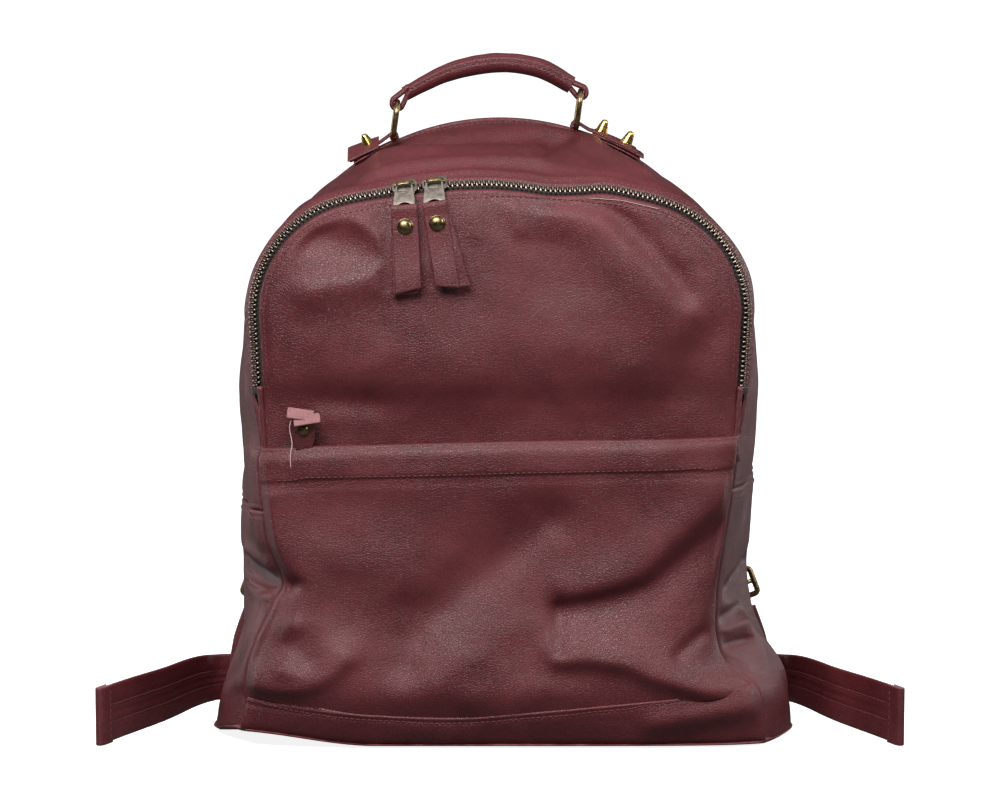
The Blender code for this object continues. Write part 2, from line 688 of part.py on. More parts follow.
def make_straps():
    for side, sign in (("left", -1), ("right", 1)):
        mirror = np.array([sign, 1.0, 1.0])
        pivot = add_pivot(f"shoulder_strap_{side}_hinge", np.array(STRAP_TOP) * mirror)
        run = spline(np.array([STRAP_TOP, (56.0, 84.0, 300.0), (84.0, 96.0, 215.0),
                               (120.0, 90.0, 130.0), (138.0, 76.0, 96.0)]) * mirror, 4)
        ribbon(f"shoulder_strap_{side}", run, [24.0, 48.0, 56.0, 50.0, 32.0], 7.0, "leather", pivot)
        foot = spline(np.array([(160.0, 63.5, 22.0), (156.0, 65.0, 46.0), (151.0, 69.0, 64.0)]) * mirror, 3)
        ribbon(f"lower_strap_{side}", foot, [34.0, 34.0, 30.0], 2.4, "leather")
        make_buckle(side, sign)
        swing = add_pivot(f"strap_tail_{side}_hinge", np.array(TAIL_ROOT) * mirror)
        tail = spline(np.array([TAIL_ROOT, (196.0, 46.0, 22.0), (216.0, 0.0, 21.6),
                                (238.0, -44.0, 21.6), (257.0, -80.0, 21.6)]) * mirror, 4)
        ribbon(f"strap_tail_{side}", tail, [34.0, 37.0], 2.6, "leather", swing, facing=(sign, 0.6, 0.0))


def make_buckle(side, sign):
    """An oblong wire loop between the shoulder strap and the lower strap."""
    centre = np.array([sign * 147.0, 75.5, 78.0])
    down = unit(sign * 0.35, -0.2, -0.91)
    across = np.cross(down, (0.0, 1.0, 0.0))
    across /= np.linalg.norm(across)
    path = []
    for quarter in range(4):
        sign_u = 1 if quarter in (0, 3) else -1
        sign_v = 1 if quarter in (0, 1) else -1
        for k in range(3):
            angle = (quarter + k / 2) * pi / 2
            path.append(centre + across * (sign_u * 17.5 + 2.5 * cos(angle))
                        + down * (sign_v * 6.0 + 2.5 * sin(angle)))
    tube(f"strap_buckle_{side}", path, "brass", circle(1.9, 8), closed=True, side=np.cross(down, across))


# ---------------------------------------------------------------- build

for old in list(bpy.data.objects):
    bpy.data.objects.remove(old, do_unlink=True)

MATERIALS = {
    "leather": material("leather", BURGUNDY, 0.42),
    "lining": material("lining", (0.06, 0.03, 0.03), 0.85),
    "board": material("board", (0.16, 0.13, 0.10), 0.8),
    "tape": material("tape", (0.02, 0.015, 0.018), 0.8),
    "cord": material("cord", (0.55, 0.50, 0.42), 0.8),
    "chain": material("chain", (0.20, 0.17, 0.14), 0.3, 1.0),
    "steel": material("steel", (0.22, 0.19, 0.16), 0.3, 1.0),
    "brass": material("brass", (0.33, 0.25, 0.13), 0.32, 1.0),
    "gold": material("gold", (0.78, 0.57, 0.22), 0.22, 1.0),
}
FRONT = front_half()
BACK = back_half()

flap_hinge = add_pivot("front_flap_hinge", (0.0, HINGE_Y, HINGE_Z))
make_shell()
make_back()
make_base()
make_front()
make_flap(flap_hinge)
make_main_zip(flap_hinge)
make_sliders()
make_pocket_zip()
make_handle()
make_tabs()
make_studs()
make_straps()
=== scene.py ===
"""Looks of a dome-topped leather backpack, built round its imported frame.

Sizes are in millimetres in the frame's own axes: the front faces -Y and the base stands on z = 0.
Every leather piece is a sheet: a dense grid of points with folds, rolled edges and sunk seams.
"""

import json
from math import asin, cos, pi, radians, sin

import bpy
import numpy as np
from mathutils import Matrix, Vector, noise
from mathutils.bvhtree import BVHTree


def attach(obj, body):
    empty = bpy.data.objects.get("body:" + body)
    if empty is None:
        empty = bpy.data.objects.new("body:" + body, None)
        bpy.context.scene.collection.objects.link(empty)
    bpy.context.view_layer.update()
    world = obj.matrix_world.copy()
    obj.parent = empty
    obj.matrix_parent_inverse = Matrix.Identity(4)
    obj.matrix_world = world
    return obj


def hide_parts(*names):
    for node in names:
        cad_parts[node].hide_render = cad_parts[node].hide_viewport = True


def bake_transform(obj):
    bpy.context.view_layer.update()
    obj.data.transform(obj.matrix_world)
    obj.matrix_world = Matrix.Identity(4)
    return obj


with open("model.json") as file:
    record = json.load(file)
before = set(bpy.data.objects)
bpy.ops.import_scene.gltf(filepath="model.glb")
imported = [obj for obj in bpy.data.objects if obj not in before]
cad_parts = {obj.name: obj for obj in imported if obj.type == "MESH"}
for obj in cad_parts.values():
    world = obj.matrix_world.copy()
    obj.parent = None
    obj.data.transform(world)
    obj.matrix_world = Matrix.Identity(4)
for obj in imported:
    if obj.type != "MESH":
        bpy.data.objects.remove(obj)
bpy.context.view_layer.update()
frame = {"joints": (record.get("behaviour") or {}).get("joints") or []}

MM = 0.001
LEATHER = 1.6
STITCH = 3.6

# The two arches of the frame: the front one carries the zip.
CROWN_TOP = 361.0
CROWN_R = 480.0
CROWN_CENTRE_Z = CROWN_TOP - CROWN_R
SHOULDER_R = 75.0
HALF_WIDTH = 158.0
SIDE_LINE = [(HALF_WIDTH, 277.4), (153.5, 212.0), (141.0, 108.0), (150.0, 45.0), (165.0, 2.2)]
BACK_R = 160.0
BACK_CENTRE_Z = 227.0
BACK_SIDE_LINE = [(BACK_R, BACK_CENTRE_Z), (157.0, 140.0), (158.0, 70.0), (170.0, 2.2)]
BACK_Y = 60.0
ZIP_Y = -58.5
FRONT_Y = -62.0
HINGE_Z = 219.0
# How far the front and the pocket bulge forward in their middle, as (z, bulge).
FRONT_BULGES = [(0.0, 3.0), (150.0, 4.5), (198.0, 5.2), (219.0, 7.2), (238.0, 12.5), (262.0, 14.2),
                (295.0, 12.2), (330.0, 9.5), (361.0, 7.0), (420.0, 6.0)]
ZIP_END = 0.535
CHAIN_REACH = ZIP_END - 0.02
EDGE = 2.8
SEAM = {"left": 0.685, "right": 0.655}
SIGN = {"left": -1.0, "right": 1.0}
CUT_STRAP = ("leather", "leather", "cut_edge")

# The pocket's top edge and the base band's seam, as (x, z).
POCKET_Y = FRONT_Y - 2.5
POCKET_BULGES = [(0.0, 13.0), (18.0, 20.5), (36.0, 25.6), (54.0, 24.8), (74.0, 20.2), (94.0, 16.8),
                 (120.0, 15.4), (150.0, 15.2), (180.0, 17.0), (200.0, 16.5)]
POCKET_TOP_LINE = [(-156.0, 187.0), (-110.0, 191.5), (0.0, 195.0), (110.0, 196.5), (156.0, 197.0)]
BAND_LINE = [(-170.0, 31.0), (-128.0, 27.0), (-82.0, 22.6), (-28.0, 20.5), (0.0, 22.5), (67.0, 29.0),
             (107.0, 34.0), (152.0, 42.0), (170.0, 44.0)]
PANEL_FOOT = 2.2
HEM = 19.0

# How far the slumped leather stands outside the frame's even sides, as (z, shift).
SEAM_SHIFT = {"left": [(0.0, 0.0), (20.0, 3.0), (34.0, 9.0), (52.0, 12.0), (70.0, 10.0), (90.0, 3.0),
                       (105.0, -3.0), (130.0, 5.0), (160.0, 5.5), (182.0, 4.0), (214.0, 0.0), (400.0, 0.0)],
              "right": [(0.0, 3.0), (16.0, 8.0), (34.0, 11.0), (44.0, 4.0), (54.0, -5.0), (71.0, -6.0),
                        (92.0, -3.0), (125.0, 0.0), (165.0, 1.0), (214.0, 0.0), (400.0, 0.0)]}
WALL_SHIFT = {"left": [(0.0, 0.0), (30.0, 3.0), (60.0, -3.0), (105.0, -1.0), (150.0, 1.0), (200.0, 0.0),
                       (400.0, 0.0)],
              "right": [(0.0, 4.0), (28.0, 9.0), (57.0, 2.0), (82.0, -7.0), (100.0, -11.0), (140.0, -5.0),
                        (200.0, -1.0), (400.0, 0.0)]}

# How far the slack stretch of the zip hangs below its arch, as (x, shift).
ZIP_SAG = [(-200.0, 0.0), (-30.0, 0.0), (6.0, -1.0), (32.0, -3.2), (52.0, -1.2), (68.0, 1.6), (92.0, 0.8),
           (120.0, 0.0), (200.0, 0.0)]
CORNER_CURL = 8.0

# Folds as (points, height, width to the left of the way along them, width to the right).
FLAP_FOLDS = [([(-118, 327), (-98, 322)], -4.5, 13, 13),
              ([(-122, 295), (-92, 300), (-66, 306)], 3.8, 7, 12),
              ([(-95, 342), (-84, 333), (-73, 322)], 2.4, 5, 6),
              ([(-138, 318), (-126, 333), (-112, 341)], 1.8, 6, 6),
              ([(38, 350), (58, 338), (72, 327), (94, 304), (120, 279)], 4.4, 8, 22),
              ([(62, 350), (79, 336), (95, 321), (109, 305), (117, 291)], -3.6, 8, 7),
              ([(130, 264), (118, 238)], -4.0, 16, 16),
              ([(34, 320), (28, 292)], -2.4, 20, 20),
              ([(-18, 350), (-15, 330)], 1.4, 5, 6),
              ([(8, 352), (12, 334)], 1.5, 6, 6),
              ([(-112, 224), (-84, 219)], -3.0, 14, 14),
              ([(52, 262), (76, 254)], 2.2, 26, 26),
              ([(-70, 252), (-20, 244)], 1.8, 20, 24)]
POCKET_FOLDS = [([(-147, 158), (-139, 130), (-130, 104), (-125, 82)], 4.6, 16, 6),
                ([(-154, 107), (-134, 104)], -4.5, 5, 5),
                ([(-146, 96), (-144, 76), (-147, 58)], -3.0, 7, 9),
                ([(-128, 78), (-124, 62), (-126, 50)], 3.0, 7, 7),
                ([(-150, 36), (-130, 36), (-112, 43), (-98, 58)], 5.0, 15, 7),
                ([(-124, 66), (-116, 58)], -2.4, 8, 8),
                ([(30, 146), (2, 122), (-28, 100), (-52, 78), (-60, 58)], -5.4, 14, 20),
                ([(-100, 118), (-62, 112)], 3.0, 26, 26),
                ([(22, 84), (-10, 66), (-40, 46)], 1.8, 11, 15),
                ([(140, 160), (108, 134), (88, 114), (46, 100)], 3.6, 8, 16),
                ([(140, 138), (114, 118), (94, 102), (62, 94), (42, 92)], -3.6, 15, 7),
                ([(42, 60), (60, 60), (82, 56), (102, 47), (122, 39)], 6.4, 17, 8),
                ([(37, 90), (38, 64)], -3.0, 5, 4),
                ([(134, 72), (118, 60)], -2.4, 5, 5),
                ([(-60, 34), (0, 34), (40, 38)], 1.6, 12, 12)]
BAND_FOLDS = [([(98, 17), (130, 23), (156, 26)], 4.0, 8, 8),
              ([(-60, 12), (-20, 10)], 1.2, 8, 8)]
# Folds of the side walls, as (y, z), and of the top wall, as (x, y).
WALL_FOLDS = {"left": [([(-60, 103), (-30, 107), (8, 112)], -4.6, 4.5, 4.5),
                       ([(-58, 113), (-18, 119)], 2.6, 6, 5),
                       ([(-58, 93), (-22, 97)], 2.6, 5, 7),
                       ([(-50, 99), (-25, 101), (0, 104)], -1.4, 1.6, 1.6),
                       ([(-54, 96), (-34, 95), (-12, 97)], -1.2, 1.5, 1.5),
                       ([(-56, 60), (-30, 42), (0, 34)], -2.6, 8, 8),
                       ([(-20, 150), (10, 178)], -2.5, 12, 12),
                       ([(-50, 130), (-44, 146)], 2.0, 6, 8),
                       ([(10, 60), (40, 84)], -2.6, 10, 10)],
              "right": [([(-44, 97), (0, 100), (34, 105)], -4.4, 6, 6),
                        ([(-60, 71), (-24, 73)], 2.2, 3, 4),
                        ([(-60, 80), (-20, 83)], -2.6, 4, 4),
                        ([(-56, 51), (-28, 52)], 3.4, 8, 8),
                        ([(-60, 62), (-30, 63)], -2.0, 2.5, 2.5),
                        ([(-24, 66), (6, 36), (30, 14)], 2.6, 8, 8),
                        ([(-10, 150), (20, 176)], -2.5, 12, 12),
                        ([(20, 60), (46, 78)], -2.4, 10, 10)]}
TOP_FOLDS = [([(-50, 30), (0, 20), (24, 26)], -6.4, 10, 13),
             ([(40, 22), (22, -10)], -5.4, 9, 9),
             ([(30, 38), (60, 32)], 3.4, 8, 12),
             ([(54, 20), (88, -6)], 5.0, 13, 12),
             ([(-122, 8), (-96, -20)], -4.6, 12, 12),
             ([(-84, -22), (-30, -28), (24, -30)], 3.2, 8, 8),
             ([(-76, 20), (-46, -2)], 4.0, 12, 10)]
BACK_FOLDS = [([(-90, 60), (0, 48), (80, 66)], -2.4, 16, 16),
              ([(-60, 150), (40, 170)], 1.8, 26, 26),
              ([(-130, 250), (-90, 300)], -2.2, 16, 16),
              ([(120, 230), (96, 290)], -2.2, 16, 16)]


# ---------------------------------------------------------------- curves and arches

def unit(vectors):
    """Vectors scaled to length 1 along their last axis."""
    vectors = np.asarray(vectors, float)
    return vectors / np.maximum(np.linalg.norm(vectors, axis=-1, keepdims=True), 1e-9)


def run_along(points):
    """The length of a line up to each of its points."""
    steps = np.linalg.norm(np.diff(points, axis=0), axis=1)
    return np.concatenate([[0.0], np.cumsum(steps)])


def spline(points, steps=8):
    """A Catmull-Rom curve through the points."""
    points = np.asarray(points, float)
    padded = np.vstack([2 * points[0] - points[1], points, 2 * points[-1] - points[-2]])
    curve = []
    for k in range(1, len(padded) - 2):
        before, start, end, after = padded[k - 1:k + 3]
        for u in np.linspace(0.0, 1.0, steps, endpoint=False):
            curve.append(0.5 * (2 * start + (end - before) * u
                                + (2 * before - 5 * start + 4 * end - after) * u ** 2
                                + (3 * start - before - 3 * end + after) * u ** 3))
    curve.append(padded[-2])
    return np.array(curve)


def smooth_table(pairs, value):
    """Values of a smooth curve through (place, value) pairs."""
    curve = spline(pairs)
    return np.interp(value, curve[:, 0], curve[:, 1])


def ease(value, low, high):
    """0 below `low`, 1 above `high` and smooth between."""
    share = np.clip((value - low) / (high - low), 0.0, 1.0)
    return share * share * (3.0 - 2.0 * share)


def arc(centre, radius, start, end, count):
    angles = np.linspace(start, end, count)
    return np.column_stack([centre[0] + radius * np.sin(angles), centre[1] + radius * np.cos(angles)])


def front_half():
    turn = asin((HALF_WIDTH - SHOULDER_R) / (CROWN_R - SHOULDER_R))
    shoulder = ((CROWN_R - SHOULDER_R) * sin(turn), CROWN_CENTRE_Z + (CROWN_R - SHOULDER_R) * cos(turn))
    crown = arc((0.0, CROWN_CENTRE_Z), CROWN_R, 0.0, turn, 40)
    bend = arc(shoulder, SHOULDER_R, turn, pi / 2, 40)
    side = spline([(HALF_WIDTH, shoulder[1])] + SIDE_LINE[1:], 16)
    return np.vstack([crown, bend[1:], side[1:]])


def back_half():
    dome = arc((0.0, BACK_CENTRE_Z), BACK_R, 0.0, pi / 2, 60)
    return np.vstack([dome, spline(BACK_SIDE_LINE, 16)[1:]])


def at_fraction(half, fraction):
    """Points (x, z) at signed fractions of a half arch; 0 is the crown and +1 the right foot."""
    run = run_along(half)
    wanted = np.abs(fraction) * run[-1]
    x = np.interp(wanted, run, half[:, 0]) * np.where(fraction < 0, -1.0, 1.0)
    return np.stack([x, np.interp(wanted, run, half[:, 1])], axis=-1)


def outward(half, fraction):
    """Unit normals (x, z) of an arch, pointing away from the bag."""
    step = 0.006
    along = unit(at_fraction(half, np.clip(fraction + step, -1.0, 1.0))
                 - at_fraction(half, np.clip(fraction - step, -1.0, 1.0)))
    return np.stack([-along[..., 1], along[..., 0]], axis=-1)


def inside(half, fraction, distance):
    """Points (x, z) that lie a distance inside an arch."""
    return at_fraction(half, fraction) - outward(half, fraction) * np.asarray(distance)[..., None]


def at_y(flat, y):
    """Points (x, z) put at a depth y."""
    return np.stack([flat[..., 0], np.broadcast_to(y, flat.shape[:-1]), flat[..., 1]], axis=-1)


FRONT = front_half()
BACK = back_half()
ARCH_LENGTH = run_along(FRONT)[-1]


def half_width(height):
    """Half the front's width at a height below its shoulders."""
    side = FRONT[FRONT[:, 1] < 290.0]
    return np.interp(height, side[::-1, 1], side[::-1, 0])


# ---------------------------------------------------------------- shaping

def distance_to(points, line):
    """Distance from points to a line, and their side: 1 left of its way, -1 right, between past its ends."""
    flat = points.reshape(-1, points.shape[-1])
    best = np.full(len(flat), 1e9)
    side = np.zeros(len(flat))
    for start, end in zip(line[:-1], line[1:]):
        way = end - start
        share = np.clip((flat - start) @ way / (way @ way), 0.0, 1.0)
        gap = flat - start - share[:, None] * way
        size = np.linalg.norm(gap, axis=1)
        nearer = size < best
        turn = (way[0] * gap[:, 1] - way[1] * gap[:, 0]) / (np.hypot(*way) * np.maximum(size, 1e-6))
        best = np.where(nearer, size, best)
        side = np.where(nearer, turn, side)
    return best.reshape(points.shape[:-1]), side.reshape(points.shape[:-1])


def relief(folds, first, second):
    """The height of a list of folds over a surface's two coordinates."""
    places = np.stack([first, second], axis=-1)
    total = np.zeros(first.shape)
    for path, height, left, right in folds:
        size, side = distance_to(places, spline(path, 4))
        width = 0.5 * (left + right) + 0.5 * (left - right) * side
        total += height * np.exp(-(size / width) ** 2)
    return total


def ripple(points, size, seed):
    """Smooth noise between about -1 and 1 whose waves are `size` long."""
    flat = points.reshape(-1, 3) / size
    values = [noise.noise(Vector((p[0] + seed, p[1] - seed, p[2] + 0.5 * seed))) for p in flat.tolist()]
    return np.array(values).reshape(points.shape[:-1])


def roll(distance, radius):
    """How far a rounded edge has dropped at a distance from the rim."""
    left = np.clip(radius - distance, 0.0, radius)
    return radius - np.sqrt(radius ** 2 - left ** 2)


def groove(distance, place, depth=0.55, width=1.3):
    """How deep a sewn line lies, at a distance from the rim, when it runs at `place`."""
    return depth * np.exp(-((distance - place) / width) ** 2)


def rounding(distance, radius, least=0.0):
    """The share of its thickness that a rounded edge has at a distance from its rim."""
    return np.sqrt(np.clip(1 - (1 - np.minimum(distance / radius, 1.0)) ** 2, least, 1.0))


def curl(points):
    """How far the front left corner of the base is lifted off the floor."""
    x, y, z = points[..., 0], points[..., 1], points[..., 2]
    return CORNER_CURL * ease(-x, 80.0, 165.0) * ease(-y, 0.0, 60.0) * (1.0 - ease(z, 12.0, 70.0))


def slump(points):
    """Moves even surfaces to where the soft leather really lies."""
    x, y, z = points[..., 0], points[..., 1], points[..., 2]
    moved = points.copy()
    moved[..., 2] += curl(points) + smooth_table(ZIP_SAG, x) * ease(z, 312.0, 345.0) * ease(-y, 20.0, 50.0)
    for side, sign in SIGN.items():
        reach = np.where(x * sign > 0, ease(x * sign, 0.5 * HALF_WIDTH, 0.9 * HALF_WIDTH), 0.0)
        seam = smooth_table(SEAM_SHIFT[side], z) * ease(-y, 5.0, 58.0)
        wall = smooth_table(WALL_SHIFT[side], z) * np.exp(-((y + 4.0) / 36.0) ** 2)
        moved[..., 0] += sign * reach * (seam + wall)
    return moved


def coons(bottom, right, top, left):
    """A grid filled in between four edges; its rows run from `bottom` to `top`."""
    v = np.linspace(0.0, 1.0, len(left))[:, None, None]
    u = np.linspace(0.0, 1.0, len(bottom))[None, :, None]
    corners = ((1 - u) * (1 - v) * bottom[0] + u * (1 - v) * bottom[-1]
               + (1 - u) * v * top[0] + u * v * top[-1])
    return (1 - v) * bottom[None] + v * top[None] + (1 - u) * left[:, None] + u * right[:, None] - corners


# ---------------------------------------------------------------- meshes

def grid_normals(grid, closed=False):
    along = np.gradient(grid, axis=0)
    if closed:
        across = np.roll(grid, -1, axis=1) - np.roll(grid, 1, axis=1)
    else:
        across = np.gradient(grid, axis=1)
    return unit(np.cross(along, across))


def grid_faces(rows, columns, closed=False):
    i = np.arange(rows - 1)[:, None]
    j = np.arange(columns if closed else columns - 1)[None, :]
    k = (j + 1) % columns
    below, above = i * columns, (i + 1) * columns
    return np.stack([below + j, above + j, above + k, below + k], axis=-1).reshape(-1, 4)


def copies(faces, count, size):
    """The faces of `count` equal pieces that have `size` points each."""
    return [[corner + k * size for corner in face] for k in range(count) for face in faces]


def add_piece(name, points, faces, looks, body, stands_for=(), picks=None, sharp=None):
    """One mesh in mm that rides on a body; when `body` is not a name, the mesh stays where it is, on no
    body.
    """
    mesh = bpy.data.meshes.new(name)
    mesh.from_pydata((np.asarray(points) * MM).tolist(), [], [list(map(int, face)) for face in faces])
    for look in looks:
        mesh.materials.append(LOOKS[look])
    if picks is not None:
        mesh.polygons.foreach_set("material_index", np.asarray(picks, np.int32))
    mesh.shade_smooth()
    if sharp:
        mesh.set_sharp_from_angle(angle=radians(sharp))
    piece = bpy.data.objects.new(name, mesh)
    bpy.context.scene.collection.objects.link(piece)
    if isinstance(body, str):
        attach(piece, body)
    else:
        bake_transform(piece)
    if stands_for:
        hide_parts(*stands_for)
    return piece


def sheet(name, grid, outer, inner, looks=("leather", "flesh", "cut_edge"), body="bag", stands_for=(),
          closed=False):
    """A closed sheet between two offsets of a grid; looks are those of its outside, inside and rim."""
    normals = grid_normals(grid, closed)
    rows, columns = grid.shape[:2]
    count = rows * columns
    points = np.vstack([(grid + normals * np.broadcast_to(offset, grid.shape[:2])[..., None]).reshape(-1, 3)
                        for offset in (outer, inner)])
    face = grid_faces(rows, columns, closed)
    last = (rows - 1) * columns
    if closed:
        rims = [list(range(columns)), [last + j for j in range(columns)][::-1]]
    else:
        rim = list(range(columns)) + [i * columns + columns - 1 for i in range(1, rows)]
        rim += [last + j for j in range(columns - 2, -1, -1)]
        rim += [i * columns for i in range(rows - 2, 0, -1)]
        rims = [rim]
    sides = [[a, b, b + count, a + count] for rim in rims for a, b in zip(rim, rim[1:] + rim[:1])]
    faces = np.vstack([face, face[:, ::-1] + count, sides])
    picks = [0] * len(face) + [1] * len(face) + [2] * len(sides)
    looks = (looks,) * 3 if isinstance(looks, str) else looks
    add_piece(name, points, faces, looks, body, stands_for, picks)
    return points[:count].reshape(rows, columns, 3)


def sweep(name, path, section, look, body="bag", stands_for=(), closed=False, side=(0.0, 1.0, 0.0),
          sharp=None):
    """A closed section swept along a path; the section's first axis stays nearest to `side`."""
    path, section, side = (np.asarray(values, float) for values in (path, section, side))
    steps = np.roll(path, -1, axis=0) - np.roll(path, 1, axis=0) if closed else np.gradient(path, axis=0)
    along = unit(steps)
    first = unit(side - along * (along @ side)[:, None])
    second = np.cross(along, first)
    points = path[:, None] + first[:, None] * section[None, :, :1] + second[:, None] * section[None, :, 1:]
    rings, sides = points.shape[:2]
    faces = (grid_faces(rings + int(closed), sides, True)[:, ::-1] % (rings * sides)).tolist()
    if not closed:
        faces.append(list(range(sides))[::-1])
        faces.append([(rings - 1) * sides + j for j in range(sides)])
    return add_piece(name, points.reshape(-1, 3), faces, [look], body, stands_for, sharp=sharp)


def weld(points, faces):
    """Joins points that share a place."""
    _, first, index = np.unique(np.round(points, 4), axis=0, return_index=True, return_inverse=True)
    index = index.reshape(-1)
    welded = []
    for face in faces:
        corners = [int(index[corner]) for corner in face]
        kept = [corner for k, corner in enumerate(corners) if corner != corners[k - 1]]
        if len(kept) > 2:
            welded.append(kept)
    return points[first], welded


def circle(radius, sides=16):
    return [(radius * cos(2 * pi * k / sides), radius * sin(2 * pi * k / sides)) for k in range(sides)]


def rounded(corners, radius, steps=5):
    """An outline with its corners rounded off."""
    outline = []
    count = len(corners)
    corners = np.asarray(corners, float)
    for k in range(count):
        here, before, after = corners[k], corners[k - 1], corners[(k + 1) % count]
        start = here + (before - here) * min(0.5, radius / np.linalg.norm(before - here))
        end = here + (after - here) * min(0.5, radius / np.linalg.norm(after - here))
        for u in np.linspace(0.0, 1.0, steps):
            outline.append((1 - u) ** 2 * start + 2 * u * (1 - u) * here + u ** 2 * end)
    return np.array(outline)


def box_outline(width, height):
    """Corners of a rectangle, anticlockwise."""
    return [(a * width / 2, b * height / 2) for a, b in ((-1, -1), (1, -1), (1, 1), (-1, 1))]


def plate(name, outlines, origin, right, up, thick, bevel, body="bag", stands_for=()):
    """A flat steel plate from an outline and its holes, with softened edges, across `right` and `up`."""
    curve = bpy.data.curves.new(name, "CURVE")
    curve.dimensions = "2D"
    curve.fill_mode = "BOTH"
    curve.extrude = thick / 2 - bevel
    curve.bevel_depth = bevel
    curve.bevel_resolution = 2
    curve.offset = -bevel
    for outline in outlines:
        line = curve.splines.new("POLY")
        line.points.add(len(outline) - 1)
        for point, place in zip(line.points, outline):
            point.co = (place[0], place[1], 0.0, 1.0)
        line.use_cyclic_u = True
    maker = bpy.data.objects.new(name + "_outline", curve)
    bpy.context.scene.collection.objects.link(maker)
    bpy.context.view_layer.update()
    mesh = bpy.data.meshes.new_from_object(maker.evaluated_get(bpy.context.evaluated_depsgraph_get()))
    flat = np.array([vertex.co[:] for vertex in mesh.vertices])
    faces = [list(polygon.vertices) for polygon in mesh.polygons]
    bpy.data.objects.remove(maker)
    bpy.data.meshes.remove(mesh)
    points = origin + flat[:, :1] * right + flat[:, 1:2] * up + flat[:, 2:] * np.cross(right, up)
    points, faces = weld(points, faces)
    return add_piece(name, points, faces, ["steel"], body, stands_for, sharp=35.0)


def turned(name, foot, axis, profile, look, body="bag", stands_for=()):
    """A solid turned about an axis from (radius, height) pairs that start and end on it."""
    sides = 32
    axis = unit(axis)
    aside = unit(np.cross(axis, (0.0, 1.0, 0.0) if abs(axis[1]) < 0.7 else (1.0, 0.0, 0.0)))
    third = np.cross(axis, aside)
    points = [foot + axis * height + radius * (aside * u + third * v)
              for radius, height in profile for u, v in circle(1.0, sides)]
    faces = grid_faces(len(profile), sides, True)[:, ::-1]
    points, faces = weld(np.array(points), faces.tolist())
    return add_piece(name, points, faces, [look], body, stands_for, sharp=50.0)


def stitches(name, path, normals, body, pitch=STITCH, thickness=0.42):
    """A row of thread lengths that dive into the leather at both ends."""
    run = run_along(path)
    count = max(int(run[-1] / pitch), 1)
    begin = (np.arange(count) + 0.14) * run[-1] / count
    length = 0.74 * run[-1] / count
    shares = np.linspace(0.0, 1.0, 5)
    lift = thickness * (np.sin(pi * shares) ** 0.6 - 0.45)
    girth = thickness * np.array([0.55, 1.0, 1.0, 1.0, 0.55])
    places = begin[:, None] + length * shares
    centre = np.stack([np.interp(places, run, column) for column in path.T], axis=-1)
    up = unit(np.stack([np.interp(places, run, column) for column in normals.T], axis=-1))
    across = unit(np.cross(up, np.gradient(centre, axis=1)))
    centre = centre + up * lift[None, :, None]
    sides = 6
    angles = 2 * pi * np.arange(sides) / sides
    ring = (across[:, :, None] * np.cos(angles)[:, None] + up[:, :, None] * np.sin(angles)[:, None])
    points = centre[:, :, None] + ring * girth[None, :, None, None]
    one = grid_faces(5, sides, True)[:, ::-1].tolist()
    one += [list(range(sides)), [4 * sides + j for j in range(sides)][::-1]]
    return add_piece(name, points.reshape(-1, 3), copies(one, count, 5 * sides), ["thread"], body)


def laid_on(surface, path):
    """The places nearest to a rough path on a finished surface, given as a grid, and its normals there."""
    tree = BVHTree.FromPolygons(surface.reshape(-1, 3).tolist(), grid_faces(*surface.shape[:2]).tolist())
    found = [tree.find_nearest(Vector(point)) for point in path]
    return np.array([hit[0][:] for hit in found]), np.array([hit[1][:] for hit in found])


def sewn(name, surface, path, body="bag", **options):
    """Stitches on a finished surface, nearest to a rough path."""
    return stitches(name, *laid_on(surface, path), body, **options)


# ---------------------------------------------------------------- materials

def add_node(tree, kind, settings=None, **inputs):
    """A shader node; inputs are values or sockets, with _ for a space, or n and the input's number."""
    made = tree.nodes.new(kind)
    for key, value in (settings or {}).items():
        setattr(made, key, value)
    for key, value in inputs.items():
        numbered = key[0] == "n" and key[1:].isdigit()
        socket = made.inputs[int(key[1:]) if numbered else key.replace("_", " ")]
        if isinstance(value, bpy.types.NodeSocket):
            tree.links.new(value, socket)
        else:
            socket.default_value = value
    return made


def new_look(name, **values):
    look = bpy.data.materials.new(name)
    look.use_nodes = True
    shader = look.node_tree.nodes["Principled BSDF"]
    for key, value in values.items():
        shader.inputs[key.replace("_", " ")].default_value = value
    return look, look.node_tree, shader


def ramp(tree, factor, stops):
    """A colour ramp with its stops given as (place, colour)."""
    made = add_node(tree, "ShaderNodeValToRGB", Fac=factor)
    elements = made.color_ramp.elements
    while len(elements) < len(stops):
        elements.new(0.5)
    for element, (place, colour) in zip(elements, stops):
        element.position = place
        element.color = (*colour, 1.0)
    return made.outputs["Color"]


def calc(tree, operation, first, second):
    return add_node(tree, "ShaderNodeMath", {"operation": operation}, n0=first, n1=second).outputs["Value"]


def weighted(tree, *parts):
    """The sum of (socket, share) pairs."""
    total, *others = [calc(tree, "MULTIPLY", socket, share) for socket, share in parts]
    for other in others:
        total = calc(tree, "ADD", total, other)
    return total


def noise_at(tree, place, scale, detail, **inputs):
    noise_node = add_node(tree, "ShaderNodeTexNoise", Vector=place, Scale=scale, Detail=detail, **inputs)
    return noise_node.outputs["Fac"]


def remap(tree, value, smooth=False, **limits):
    settings = {"interpolation_type": "SMOOTHSTEP"} if smooth else None
    return add_node(tree, "ShaderNodeMapRange", settings, Value=value, **limits).outputs["Result"]


def mix(tree, factor, first, second, settings=None):
    settings = {"data_type": "RGBA", **(settings or {})}
    return add_node(tree, "ShaderNodeMix", settings, n0=factor, n6=first, n7=second).outputs[2]


def feed(tree, shader, **sockets):
    """Links sockets to the shader's inputs, named with _ for a space."""
    for key, socket in sockets.items():
        tree.links.new(socket, shader.inputs[key.replace("_", " ")])


